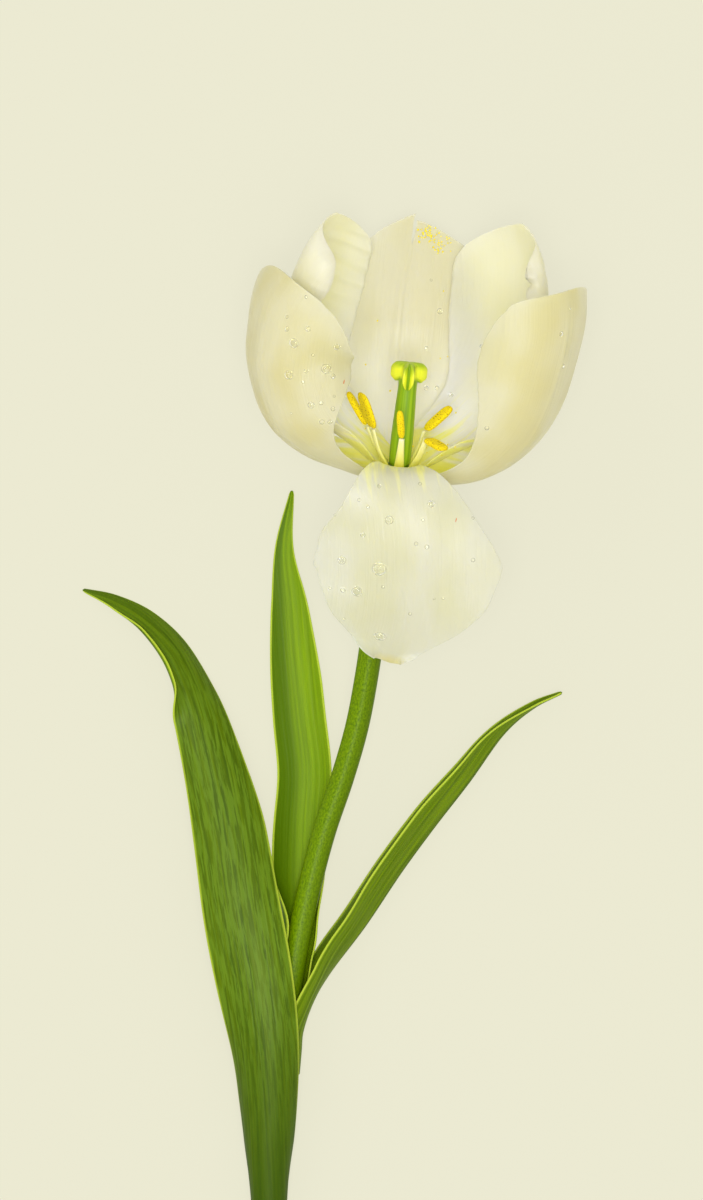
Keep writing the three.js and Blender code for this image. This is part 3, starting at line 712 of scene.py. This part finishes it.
petal_meshes = {}
for number, (name, shape) in enumerate(PETALS.items()):
    width = petal_width(**shape["outline"], seed=60 + 2 * number)
    blade = {**shape, **blade_curves(shape), "level": petal_level, "width": width, "tip_rows": 1.6,
             "ease": PETAL_EASE}
    grid, flow, share = blade_surface(blade, PETAL_ROWS, PETAL_COLUMNS)
    grid = in_flower(grid, shape["azimuth"])
    thinner = THINNER_MARGIN * np.abs(share[..., 0]) ** 2 + THINNER_TIP * share[..., 1] ** 3
    relief = petal_relief(10 * number, flow, share, shape.get("creases", ()), shape.get("pleats"))
    points, faces, coordinates, finish = closed_sheet(grid, flow, share, PETAL_THICKNESS - thinner, relief)
    petal_meshes[name] = (points, faces)
    make_piece(name, points, faces, PETAL_SKINS[name], finish, coordinates, [name])

# %% [markdown]
# ## Leaves
# A tulip leaf is a long blade with parallel veins and no stalk: its foot wraps the stem as a sheath. Its
# skin has a thin coat of wax, the bloom, which makes it paler and dull, and where the wax is rubbed off the
# leaf is darker. The wax scatters light, so the highlight is weak and wide: a low specular level and a high
# roughness. The margin is a fine pale line.

# %% Leaf materials
LEAF_MARGIN = "#B4C83C"
LEAF_VEIN_SPACING = 0.9                  # mm, about as on a real leaf
STREAK_SPACING = 0.8                     # mm between streaks where the bloom is rubbed off


def leaf_material(name, tones, bloom_share, roughness, shaded_side=None, foot=None):
    dark, green, bloom = tones
    material, tree, shader = start_material(name, roughness, 1.42, Subsurface_Weight=0.12,
                                            Subsurface_Scale=0.001, Specular_IOR_Level=0.15)
    shader.inputs["Subsurface Radius"].default_value = (0.6, 1.2, 0.2)
    flow, share = skin_maps(tree)
    veins = vein_pattern(tree, flow, LEAF_VEIN_SPACING, 60)
    streaks = vein_pattern(tree, flow, STREAK_SPACING, 13, 8.0)
    tone = add(tree, "ValToRGB", feeds={"Fac": veins}, ramp=[(0.3, linear(dark)), (0.7, linear(green))])
    cover = add(tree, "ValToRGB", feeds={"Fac": streaks}, ramp=[(0.45, 0), (0.55, 1)])
    zone = add(tree, "ValToRGB", feeds={"Fac": share["Y"]},
               ramp=[(0.12, 0), (0.36, 1), (0.74, 1), (0.9, 0.2)])
    part = add(tree, "Math", {"operation": "MULTIPLY"},
               {0: cover.outputs["Color"], 1: zone.outputs["Color"]})
    weight = add(tree, "Math", {"operation": "MULTIPLY"}, {0: part.outputs[0], 1: bloom_share})
    layers = [(weight.outputs[0], bloom)]
    if shaded_side:
        shade = add(tree, "MapRange", feeds={"Value": share["X"], 1: -0.45, 2: -0.05, 3: 0.9, 4: 0.0})
        layers.append((shade.outputs["Result"], shaded_side))
    edge = add(tree, "Math", {"operation": "ABSOLUTE"}, {0: share["X"]})
    margin = add(tree, "MapRange", feeds={"Value": edge.outputs[0], 1: 0.94, 2: 0.99, 3: 0.0, 4: 0.85})
    layers.append((margin.outputs["Result"], LEAF_MARGIN))
    if foot:
        low = add(tree, "MapRange", feeds={"Value": share["Y"], 1: 0.08, 2: 0.42, 3: 0.75, 4: 0.0})
        layers.append((low.outputs["Result"], foot))
    colour = tone.outputs["Color"]
    for factor, tint in layers:
        colour = add(tree, "Mix", {"data_type": "RGBA"}, {0: factor, 6: colour, 7: linear(tint)}).outputs[2]
    finish_skin(tree, shader, colour, veins, 0.5, 0.2)
    return material


bloom_leaf = leaf_material("leaf_skin_with_bloom", ("#405A00", "#5A7400", "#64841A"), 0.7, 0.45,
                           foot="#2F4A02")
olive_leaf = leaf_material("leaf_skin_olive", ("#4A6500", "#6E8A00", "#60781C"), 0.5, 0.45)
pale_leaf = leaf_material("leaf_skin_pale", ("#668600", "#7C9E00", "#6F9016"), 0.35, 0.5,
                          shaded_side="#4E6E00")
print("three leaf skins, with a vein every", LEAF_VEIN_SPACING, "mm")

# %% [markdown]
# The stem's middle line is two curves over its length: how far across it is and how high. The feet of the
# leaves hug it at a set distance, so they use the same two curves.

# %% The line of the stem
STEM_RADIUS = 3.1
SHEATH_RADIUS = 4.3
stem_across = through([[-183.5, -23.7], [-153, -21], [-119, -18.1], [-92, -14.4], [-66, -8.6], [-39, 0],
                       [-26, 3], [-10, 5.4], [10, 8.6], [26, 11.4], [35, 12.4]])
stem_height = through([[-183.5, 4.6], [-119, 6.8], [-92, 8.6], [-66, 10.6], [-39, 13.4], [-10, 17.8],
                       [10, 21.6], [26, 25.6], [35, 28.5]])


def stem_point(y):
    return np.array([float(stem_across(y)), y, float(stem_height(y))])


def hugging(angle, radius, *places):
    """Points beside the stem, at an angle round it in degrees."""
    turn = math.radians(angle)
    return [stem_point(y) + radius * np.array([math.cos(turn), 0, math.sin(turn)]) for y in places]


print("the stem lies", stem_point(0).round(1)[2], "mm above the table under the flower's fallen petal")

# %% [markdown]
# The large leaf on the left wraps the stem's foot as a sheath, then opens and bends outwards, and near its
# tip its left margin rolls over and shows the underside. The pale one stands behind the stem, and the
# narrow one on the right is folded along its midrib like a gutter (`keel`). Widths are for the left and the
# right half.

# %% The leaves' shapes
LEAVES = {
    "leaf_left": dict(
        skins=[bloom_leaf, olive_leaf], slot="leaf",
        midrib=[*hugging(90, SHEATH_RADIUS, -182.9, -172, -162), [-22.3, -144, 12], [-23, -131.5, 13.5],
                [-24.2, -116, 15.2], [-26.6, -98.4, 15.6], [-29.8, -80.1, 15], [-32.7, -60.5, 12.8],
                [-36.5, -42.2, 10], [-40.5, -26.4, 7.2], [-45.9, -14.5, 4.6], [-53.8, -5.8, 2.6],
                [-62.6, -0.3, 1.6], [-70.9, 2.6, 0.8]],
        widths=([[0, 9.6], [0.2, 9.2], [0.3, 9.4], [0.45, 9.9], [0.6, 9.4], [0.72, 8], [0.8, 7.4], [0.9, 5],
                 [1, 0.4]],
                [[0, 10], [0.2, 9.8], [0.3, 10.6], [0.45, 11.2], [0.6, 10.6], [0.72, 8], [0.8, 6.4],
                 [0.9, 3.8], [1, 0.4]]),
        cup=[[0, -1 / 4.3], [0.09, -1 / 4.3], [0.2, -1 / 6.6], [0.27, -1 / 9], [0.45, -1 / 26],
             [0.7, -1 / 16], [1, -1 / 10]],
        turn=[[0, 0], [0.1, 0], [0.3, 12], [0.45, 4], [0.7, -8], [0.85, -35], [1, -30]],
        rolls=([[0, 0], [0.75, 0], [0.81, 150], [0.9, 150], [0.95, 60], [1, 0]], None),
        roll_from=0.4),
    "leaf_back": dict(
        skins=[pale_leaf, pale_leaf], slot="pale_leaf",
        midrib=[*hugging(-90, SHEATH_RADIUS, -104, -95, -87), [-13.4, -72, 3.2], [-12.9, -58, 1.6],
                [-12.3, -45, 1], [-13.9, -30.7, 0.8], [-15.5, -14.8, 0.8], [-16.6, -1.1, 0.9],
                [-17.9, 13.8, 1.4], [-15.8, 28.6, 2.2]],
        widths=([[0, 10], [0.2, 9.9], [0.4, 7.9], [0.6, 6.9], [0.75, 5.1], [0.88, 2.4], [1, 0.4]],
                [[0, 7.6], [0.2, 7.3], [0.4, 7.3], [0.6, 7.2], [0.75, 5.4], [0.88, 2.6], [1, 0.4]]),
        cup=[[0, 1 / 4.3], [0.13, 1 / 4.3], [0.25, 1 / 8], [0.55, 1 / 14], [1, 1 / 8]]),
    "leaf_right": dict(
        skins=[olive_leaf, olive_leaf], slot="leaf",
        midrib=[*hugging(-20, SHEATH_RADIUS + 0.4, -125, -119, -113.5), [-10.4, -106, 5.8], [-5.6, -98, 5],
                [3.5, -86, 4], [12.9, -72, 3.4], [21.7, -60, 3], [31, -48, 3], [40, -35.5, 3],
                [48, -28.5, 3.2], [55.4, -24.6, 3.4]],
        widths=([[0, 7], [0.15, 7.4], [0.3, 6.9], [0.6, 6.6], [0.78, 4.8], [0.9, 2.1], [1, 0.4]],
                [[0, 8.3], [0.15, 8.6], [0.3, 8.2], [0.6, 8.1], [0.78, 6], [0.9, 2.6], [1, 0.4]]),
        cup=[[0, 1 / 4.4], [0.06, 1 / 4.6], [0.14, 1 / 6.6], [0.22, 1 / 12], [0.4, 1 / 60], [1, 1 / 60]],
        keel=[[0, 0], [0.12, 0], [0.3, 45], [0.45, 60], [0.8, 60], [1, 30]],
        turn=[[0, 72], [0.12, 80], [0.3, 74], [0.8, 70], [1, 50]]),
}
print(len(LEAVES), "leaves")

# %% [markdown]
# A leaf is firmer than a petal: it is nearly a millimetre thick at its midrib, and half that at its margin.
# Its parallel veins are shallow furrows, and its margin waves a little.

# %% Build the leaves
LEAF_ROWS = 220
LEAF_COLUMNS = 24
LEAF_THICKNESS = 0.9                     # mm at the midrib, and half of it at the margin
LEAF_VEIN_DEPTH = 0.05
LEAF_WAVE = 0.3                          # how far the margin waves, in mm
UP = np.array([0.0, 0.0, 1.0])


def leaf_level(along):
    return unit(np.cross(along, UP))


def leaf_width(stops):
    left, right = (through(s) for s in stops)
    return lambda s, side: np.where(side < 0, left(s), right(s))


def leaf_relief(seed, flow, share):
    across, along = flow[..., 0], flow[..., 1]
    veins = LEAF_VEIN_DEPTH * wander(across, seed, 4, 2.6, 1.0)
    waves = LEAF_WAVE * wander(along + across, seed + 1, 3, 60, 25) * np.abs(share[..., 0]) ** 2
    return (veins + waves * np.clip(share[..., 1] / 0.4 - 0.6, 0, 1)) * (1 - share[..., 1] ** 4)


for number, (name, shape) in enumerate(LEAVES.items()):
    blade = {**shape, **blade_curves(shape), "level": leaf_level, "width": leaf_width(shape["widths"])}
    grid, flow, share = blade_surface(blade, LEAF_ROWS, LEAF_COLUMNS)
    thickness = LEAF_THICKNESS * (1 - 0.5 * np.abs(share[..., 0]) ** 1.5)
    relief = leaf_relief(100 + 10 * number, flow, share)
    points, faces, coordinates, finish = closed_sheet(grid, flow, share, thickness, relief)
    make_piece(name, points, faces, shape["skins"], finish, coordinates, [name])

# %% [markdown]
# ## Stem, stamens and pistil
# The stem, filaments, anthers and ovary are all drawn the same way: rings of points across a line, joined
# and closed at both ends.

# %% Rings along a line
def rings_to_solid(rings):
    count, sides = rings.shape[:2]
    points = np.vstack([rings.reshape(-1, 3), rings[0].mean(axis=0), rings[-1].mean(axis=0)])
    a = (np.arange(count - 1)[:, None] * sides + np.arange(sides)).ravel()
    b = (np.arange(count - 1)[:, None] * sides + (np.arange(sides) + 1) % sides).ravel()
    faces = [tuple(f) for f in np.stack([a, b, b + sides, a + sides], axis=1)]
    first, last = count * sides, count * sides + 1
    top = (count - 1) * sides
    for k in range(sides):
        faces.append((first, (k + 1) % sides, k))
        faces.append((last, top + k, top + (k + 1) % sides))
    return points, faces


def ring_coordinates(rings, girth, length):
    """Flow and Share for rings: round the organ and along it."""
    count, sides = rings.shape[:2]
    turn, s = np.meshgrid(np.linspace(-1, 1, sides), np.linspace(0, 1, count))
    flow = np.stack([turn * girth / 2, s * length], axis=-1).reshape(-1, 2)
    share = np.stack([turn, s], axis=-1).reshape(-1, 2)
    ends = np.array([[0, 0], [0, 1]])
    return [np.vstack([flow, ends * length]), np.vstack([share, ends])]


def tube(points, steps, sides, radii, section=None):
    """Rings across a line; `radii` gives half width and half height at s, `section` shapes the outline."""
    s = np.linspace(0, 1, steps + 1)
    middle, along, length = route(points)(s)
    across = unit(np.cross(along, np.array([0.02, 0.01, 1])))
    upward = np.cross(across, along)
    turn = -2 * np.pi * np.arange(sides) / sides
    wide, high = (np.asarray(r)[:, None, None] for r in radii(s))
    shape = np.ones((steps + 1, sides)) if section is None else section(s[:, None], turn[None, :])
    sideways = across[:, None] * wide * np.cos(turn)[None, :, None]
    upwards = upward[:, None] * high * np.sin(turn)[None, :, None]
    return middle[:, None] + (sideways + upwards) * shape[..., None], length


_, length = tube([[0, 0, 0], [10, 0, 0]], 2, 3, lambda s: (s, s))
print("a straight tube of 10 mm measures", round(length, 3))

# %% [markdown]
# The stem is juicy and round. Its skin is dotted with fine paler points where the bloom is thin, and its
# right side, away from the lamp at the upper left, is painted darker: painted shade. A little light goes
# into the green tissue and comes out again, so it gets a weak subsurface. At its top it swells into the
# receptacle that carries the flower.

# %% Stem
STEM_END = -183.5
STEM_TOP = 34.7
RECEPTACLE_RADIUS = 4.6
DOT_WIDTH = 0.5                          # mm, coarser than real so that the dots show
DOT_LENGTH = 0.8


def stem_material():
    material, tree, shader = start_material("stem_skin", 0.38, 1.42, Subsurface_Weight=0.15,
                                            Subsurface_Scale=0.001, Specular_IOR_Level=0.15)
    shader.inputs["Subsurface Radius"].default_value = (0.8, 1.4, 0.2)
    flow, share = skin_maps(tree)
    place = add(tree, "Mapping", feeds={"Vector": flow, "Scale": (1 / DOT_WIDTH, 1 / DOT_LENGTH, 1)})
    dots = add(tree, "TexNoise", {"noise_dimensions": "2D"},
               {"Vector": place.outputs[0], "Scale": 1.0, "Detail": 4.0, "Roughness": 0.7}).outputs["Fac"]
    tone = add(tree, "ValToRGB", feeds={"Fac": dots},
               ramp=[(0.35, linear("#507000")), (0.65, linear("#769600"))])
    # painted shade: the stem's right side, away from the upper left lamp, is mixed towards a darker green
    away = add(tree, "Math", {"operation": "ABSOLUTE"}, {0: share["X"]})
    dark = add(tree, "MapRange", feeds={"Value": away.outputs[0], 1: 0.5, 2: 0.8, 3: 0.0, 4: 0.6})
    colour = add(tree, "Mix", {"data_type": "RGBA"},
                 {0: dark.outputs["Result"], 6: tone.outputs["Color"], 7: linear("#4C6600")}).outputs[2]
    finish_skin(tree, shader, colour, dots, 0.4, 0.1)
    return material


stem_line = [stem_point(y) for y in np.linspace(STEM_END, STEM_TOP, 17)]
swell = through([[0, STEM_RADIUS], [0.955, STEM_RADIUS], [0.985, RECEPTACLE_RADIUS],
                 [1, RECEPTACLE_RADIUS - 0.5]])
stem_rings, stem_length = tube(stem_line, 160, 48, lambda s: (swell(s), swell(s)),
                               lambda s, turn: 1 + 0.012 * np.cos(5 * turn + 6 * s))
points, faces = rings_to_solid(stem_rings)
make_piece("stem", points, faces, [stem_material()], None,
           ring_coordinates(stem_rings, 2 * math.pi * STEM_RADIUS, stem_length), ["stem"])
print("stem:", round(stem_length), "mm long")

# %% [markdown]
# A stamen is a pale fleshy filament with an anther balanced on its tip. The filament is watery and lets
# light through, so it gets subsurface scattering. A ripe anther splits along its length and turns inside
# out, so it is coated in loose pollen: bright yellow, dusty, with brown specks of old skin. Dust has no
# shine: it gets a high roughness and a coarse relief.

# %% Stamen materials
GRAINS_PER_MM = 2.6                      # clumps of pollen; one grain is far too fine to show


def filament_material():
    material, tree, shader = start_material("filament_flesh", 0.4, 1.4, Subsurface_Weight=0.4,
                                            Subsurface_Scale=0.001)
    shader.inputs["Subsurface Radius"].default_value = (1.6, 1.5, 0.6)
    _, share = skin_maps(tree)
    tone = add(tree, "ValToRGB", feeds={"Fac": share["Y"]},
               ramp=[(0.0, linear("#FBF56A")), (1.0, linear("#FAF6BE"))])
    tree.links.new(tone.outputs["Color"], shader.inputs["Base Color"])
    return material


def pollen_material():
    material, tree, shader = start_material("pollen_dust", 0.85, 1.45)
    flow, _ = skin_maps(tree)
    grains = add(tree, "TexNoise", {"noise_dimensions": "2D"},
                 {"Vector": flow, "Scale": GRAINS_PER_MM, "Detail": 3.0, "Roughness": 0.6}).outputs["Fac"]
    tone = add(tree, "ValToRGB", feeds={"Fac": grains},
               ramp=[(0.3, linear("#7A5A06")), (0.37, linear("#F2CF00")), (0.56, linear("#FFE800"))])
    finish_skin(tree, shader, tone.outputs["Color"], grains, 0.8, 0.2)
    return material


filament_flesh = filament_material()
pollen_dust = pollen_material()
print("stamens:", filament_flesh.name, "and", pollen_dust.name)

# %% [markdown]
# Six stamens stand round the pistil, three in front of the outer petals and three in front of the inner
# ones. Each is two pieces, because a real anther swings on the filament's tip. A filament is a flat ribbon
# that narrows upwards. An anther is a fat rod with a furrow down each broad side.

# %% Stamens
# A foot is in degrees round the axis. Filament and anther meet at the joint, `end` is the anther's tip, and
# `wide` is its half width.
STAMENS = {
    "front": dict(foot=-90, joint=[-0.1, -9, 11.6], end=[-1.4, -14, 20.5], wide=0.8),
    "front_left": dict(foot=-150, joint=[-7.7, -4.5, 12.2], end=[-11.7, -7, 22.2], wide=2.2),
    "back_left": dict(foot=155, joint=[-9.3, 1, 11.2], end=[-15.3, 3, 19.3], wide=1.15),
    "back": dict(foot=100, joint=[0, 7, 12.2], end=[0.2, 12, 21.6], wide=1.1),
    "back_right": dict(foot=45, joint=[5.6, 2, 11.2], end=[11.9, 6.5, 17.2], wide=1.5),
    "front_right": dict(foot=-30, joint=[6.2, -6, 11.6], end=[11.2, -12.2, 11], wide=1.75),
}
FOOT_RING = 3.9
FOOT_HEIGHT = 2
JOINT_GAP = 0.5
FILAMENT_GIRTH = 5
ANTHER_GIRTH = 6


def filament_radii(s):
    return 1.35 - 0.65 * s, 0.6 - 0.2 * s


def anther_fullness(s):
    return np.sqrt(1 - (2 * s - 1) ** 4) + 0.2


def anther_furrows(s, turn):
    return 1 - 0.22 * np.exp(-((np.abs(np.sin(turn)) - 1) / 0.12) ** 2)


for name, stamen in STAMENS.items():
    foot = math.radians(stamen["foot"])
    joint, end = np.array(stamen["joint"]), np.array(stamen["end"])
    start = np.array([FOOT_RING * math.cos(foot), FOOT_RING * math.sin(foot), FOOT_HEIGHT])
    middle = (start + joint) / 2 + 0.06 * joint * [1, 1, 0]
    rings, length = tube([start, middle, joint], 24, 20, filament_radii)
    points, faces = rings_to_solid(rings)
    make_piece("filament_" + name, in_flower(points), faces, [filament_flesh], None,
               ring_coordinates(rings, FILAMENT_GIRTH, length), ["filament_" + name])

    foot_end = joint + unit(end - joint) * JOINT_GAP
    rings, length = tube([foot_end, (foot_end + end) / 2, end], 40, 32,
                         lambda s: (stamen["wide"] * anther_fullness(s), 0.8 * anther_fullness(s)),
                         anther_furrows)
    points, faces = rings_to_solid(rings)
    make_piece("anther_" + name, in_flower(points), faces, [pollen_dust], None,
               ring_coordinates(rings, ANTHER_GIRTH, length), ["anther_" + name])

# %% [markdown]
# The pistil is a green three-sided ovary with the stigma sitting right on it. The ovary's skin is smooth
# and waxy, with paler stripes along it. The stigma's three lobes stand out like small ears with a yellow
# rim of fine papillae that hold the pollen, and a furrow splits the front one, which hangs lower.

# %% Pistil
PISTIL_RINGS = [  # height, radius, how far the lobes stand out, and how far they droop, in mm
    [1.8, 2.2, 0, 0], [3, 2.75, 0, 0], [9, 2.9, 0, 0], [16, 2.7, 0, 0], [22, 2.45, 0, 0],
    [24.8, 2.35, 0.3, 0.6], [25.9, 2.2, 1.8, 1.7], [27, 2.1, 3.2, 1.4], [28.2, 2, 3.3, 0.6],
    [29.2, 1.7, 2.3, 0], [29.7, 0.9, 1, 0],
]
PISTIL_STEPS = 90
PISTIL_SIDES = 96
PISTIL_GIRTH = 18
PISTIL_LENGTH = 28
STRIPE_SPACING = 1.2                     # mm
FRONT_LOBE = 1.5 * math.pi
FURROW_SHARE = 0.516                     # where the front lobe's furrow is in `Share`, round the pistil


def pistil_material():
    material, tree, shader = start_material("ovary_skin", 0.35, 1.42, Subsurface_Weight=0.2,
                                            Subsurface_Scale=0.001)
    shader.inputs["Subsurface Radius"].default_value = (0.8, 1.2, 0.2)
    flow, share = skin_maps(tree)
    stripes = vein_pattern(tree, flow, STRIPE_SPACING, 20, 2.0)
    tone = add(tree, "ValToRGB", feeds={"Fac": stripes},
               ramp=[(0.35, linear("#7AA40C")), (0.65, linear("#9CC020"))])
    rim = add(tree, "ValToRGB", feeds={"Fac": share["Y"]},
              ramp=[(0.54, 0), (0.64, 1), (0.78, 1), (0.88, 0.25)])
    beside = add(tree, "Math", {"operation": "SUBTRACT"}, {0: share["X"], 1: FURROW_SHARE})
    away = add(tree, "Math", {"operation": "ABSOLUTE"}, {0: beside.outputs[0]})
    ridge = add(tree, "MapRange", feeds={"Value": away.outputs[0], 1: 0.02, 2: 0.045, 3: 0.0, 4: 1.0})
    furred = add(tree, "Math", {"operation": "MULTIPLY"},
                 {0: rim.outputs["Color"], 1: ridge.outputs["Result"]})
    colour = add(tree, "Mix", {"data_type": "RGBA"},
                 {0: furred.outputs[0], 6: tone.outputs["Color"], 7: linear("#EDF53C")}).outputs[2]
    tree.links.new(colour, shader.inputs["Base Color"])
    return material


ring_stops = np.array(PISTIL_RINGS, float)
stop_share = np.linspace(0, 1, len(ring_stops))
fine_share = np.linspace(0, 1, PISTIL_STEPS)
height, core, reach, droop = (through(np.stack([stop_share, ring_stops[:, k]], axis=1))(fine_share)[:, None]
                              for k in range(4))
turn = 2 * np.pi * np.arange(PISTIL_SIDES)[None, :] / PISTIL_SIDES
lobe = ((1 + np.cos(3 * (turn + np.pi / 2))) / 2) ** 1.5
aside = turn - FRONT_LOBE
cleft = 0.9 * np.exp(-(aside / 0.15) ** 2)
ridges = 0.12 * np.exp(-((np.abs(aside) - 0.3) / 0.1) ** 2)
frill = 0.05 * np.sin(23 * turn) * (reach > 1)
radius = core + reach * (lobe * (1 - cleft) + ridges) + frill
hang = droop * (lobe + 0.8 * np.exp(-(aside / 0.3) ** 2))
pistil_rings = np.stack([radius * np.cos(turn), radius * np.sin(turn), height - hang], axis=-1)
points, faces = rings_to_solid(pistil_rings)
make_piece("pistil", in_flower(points), faces, [pistil_material()], None,
           ring_coordinates(pistil_rings, PISTIL_GIRTH, PISTIL_LENGTH), ["pistil"])

# %% [markdown]
# ## Water drops
# A drop on a waxy petal is a flat dome that bends light like a small lens. Each one is placed where it is
# seen: a line from the camera through its place in the view meets a petal, and the drop is built on that
# spot along the petal's own normal, sunk by a hair so that no air is left under it. Water is clear and
# smooth, with an IOR of 1.333, so its shader lets all light through.

# %% Water
WATER_SIDES = 20
WATER_RINGS = 7
WATER_PROFILE = 0.6                      # height over radius of a small drop on wax
WATER_SUNK = 0.12                        # how deep its underside lies, over the radius

water, _ = plain_material("water", "#FFFFFA", 0.03, 1.333, Transmission_Weight=1.0)


def meeting_place(trees, x, y):
    """The first petal that the camera sees at x, y (mm at the flower's level), and its point and normal."""
    eye = Vector((0, 0, FLOWER_LEVEL + CAMERA_DISTANCE))
    ray = (Vector((x, y, FLOWER_LEVEL)) - eye).normalized()
    hits = []
    for name, surface in trees.items():
        place, normal, _, distance = surface.ray_cast(eye, ray)
        if place is not None:
            facing = normal if normal.dot(ray) < 0 else -normal
            hits.append((distance, name, np.array(place), np.array(facing)))
    return min(hits, key=lambda hit: hit[0])[1:] if hits else (None, None, None)


def drop_mesh(place, normal, radius, stretch=1):
    """A closed flat dome, round or `stretch` times as long as wide."""
    side = unit(np.cross(normal, [0.3, 1, 0.1]))
    other = np.cross(normal, side)
    tilt = np.linspace(np.pi, 0, WATER_RINGS + 1)[1:-1, None, None]
    turn = np.linspace(0, 2 * np.pi, WATER_SIDES, endpoint=False)[None, :, None]
    high = np.where(np.cos(tilt) > 0, WATER_PROFILE, WATER_SUNK) * radius * np.cos(tilt)
    wide = np.cos(turn) * side + np.sin(turn) * other * stretch
    return rings_to_solid((place + np.sin(tilt) * radius * wide + high * normal)[::-1])


def join_meshes(meshes):
    starts = np.cumsum([0] + [len(points) for points, _ in meshes])
    faces = [tuple(start + k for k in face) for start, (_, own) in zip(starts, meshes) for face in own]
    return np.vstack([points for points, _ in meshes]), faces


print("water:", water.name, "drops of", WATER_SIDES, "sides")

# %% [markdown]
# The drops follow a real spray: a few large ones and many small ones, mostly on the two petals that lie
# open to it. All drops on one petal are joined into one piece.

# %% Place the drops
DROPS = [  # place x, y and diameter in mm, and how many times as long as it is wide, where it isn't round
    [7.2, 8.1, 3.7], [1.4, 2.3, 2.8], [-2.5, 10.4, 2.3], [9.8, 20.8, 2.3], [20.7, 25, 1.8], [3, 16.9, 1.4],
    [16.8, 14.6, 1.1], [19.6, 13.8, 1.2], [-2.2, 2.6, 1.4], [31.6, 10.4, 1.1], [7.4, -9.4, 3.2, 0.75],
    [15.2, -3.6, 1], [2, 26, 1], [7.2, 29.6, 1.1], [-2, -4.9, 0.9], [4.3, 24.2, 0.9], [-4.3, 22.1, 0.7],
    [-5.6, 3.1, 0.9], [21.5, 0.3, 0.6], [23.8, 0.5, 0.8], [8.2, 3.4, 0.9], [17.8, 30.2, 1],
    [18.6, 20.8, 0.9], [31.6, 21.3, 0.8], [-16.3, 58.5, 2.4], [-6.6, 60.1, 2.7], [-15, 66.8, 2.6],
    [-3.8, 65.8, 1.8], [-16.8, 70.5, 1.3], [-11.3, 70.5, 1.5], [-10.5, 50.7, 1.8], [-7.7, 46.3, 1.4],
    [-5.6, 46.3, 1.3], [-11.8, 59.5, 1.2], [-4.8, 58.2, 1.3], [-7.9, 51.2, 1.1], [-12.6, 56.7, 0.9],
    [-4.8, 49.7, 1.2], [-16.8, 73.6, 1], [-11.8, 78.8, 0.9], [-10, 63.7, 0.9], [-4.5, 53, 0.7],
    [-15.7, 48.6, 0.7], [55, 60.8, 1.3], [35.2, 44.7, 1.2], [54.5, 69.2, 1.3], [56.8, 75.7, 0.7],
    [33.7, 66, 0.8], [23, 75.1, 1.6], [19.4, 55.1, 1.3], [22.2, 55.1, 1.2], [25.9, 53.3, 1.2],
    [20.7, 83.2, 0.7], [19.4, 65.5, 1],
]


def petal_tree(name):
    points, faces = petal_meshes[name]
    return BVHTree.FromPolygons([tuple(p) for p in points], [tuple(int(k) for k in f) for f in faces])


petal_trees = {name: petal_tree(name) for name in petal_meshes}
drops_on = {}
for x, y, width, *stretch in DROPS:
    petal, place, normal = meeting_place(petal_trees, x, y)
    if petal:
        drops_on.setdefault(petal, []).append(drop_mesh(place, normal, width / 2, *stretch))
for petal, drops in drops_on.items():
    points, faces = join_meshes(drops)
    make_piece("water_on_" + petal, points, faces, [water])
print(sum(len(drops) for drops in drops_on.values()), "drops")

# %% [markdown]
# Ripe anthers shed pollen, and some of it sticks to the petals as tiny yellow specks, most of it near the
# notch of the back petal. A speck is a clump of grains about a third of a millimetre wide, so it is made as
# a tiny dome like a drop, but dull and opaque.

# %% Loose pollen
SPECK_PATCHES = [  # middle x, y and spread in mm, and how many
    [20.5, 95, 1.5, 44], [23.5, 93, 1.6, 24], [27, 36, 4.5, 16], [13, 40, 9, 14], [17, 62, 12, 10],
]
BACK_PETALS = ("petal_back_centre", "petal_back_right", "petal_back_left")
SPECK_STRETCH = 1.3

loose_pollen, _ = plain_material("loose_pollen", "#FFEE28", 0.8, 1.45)
draw = np.random.default_rng(7)
specks_on = {}
for x, y, spread, count in SPECK_PATCHES:
    for dx, dy, size in draw.normal(0, 1, (count, 3)):
        petal, place, normal = meeting_place(petal_trees, x + dx * spread, y + dy * spread)
        if petal in BACK_PETALS:
            speck = drop_mesh(place, normal, 0.15 + 0.06 * abs(size), SPECK_STRETCH)
            specks_on.setdefault(petal, []).append(speck)
for petal, specks in specks_on.items():
    points, faces = join_meshes(specks)
    make_piece("pollen_on_" + petal, points, faces, [loose_pollen])
print(sum(len(specks) for specks in specks_on.values()), "specks of pollen")

# %% [markdown]
# Two short rusty streaks mark the petals where the tissue was scratched. Each is a sliver of dried tissue
# in the skin, so it is a very flat long dome in a matte brown red.

# %% Scratches
SCRATCHES = [  # place x, y and half width in mm, and length over width
    [-1.95, 56.7, 0.14, 4], [27.2, 20.8, 0.12, 5],
]

dried_tissue, _ = plain_material("dried_petal_tissue", "#D27A4A", 0.7, 1.4)
for number, (x, y, half_width, stretch) in enumerate(SCRATCHES):
    petal, place, normal = meeting_place(petal_trees, x, y)
    points, faces = drop_mesh(place, normal, half_width, stretch)
    make_piece(f"scratch_on_{petal}_{number}", points, faces, [dried_tissue])
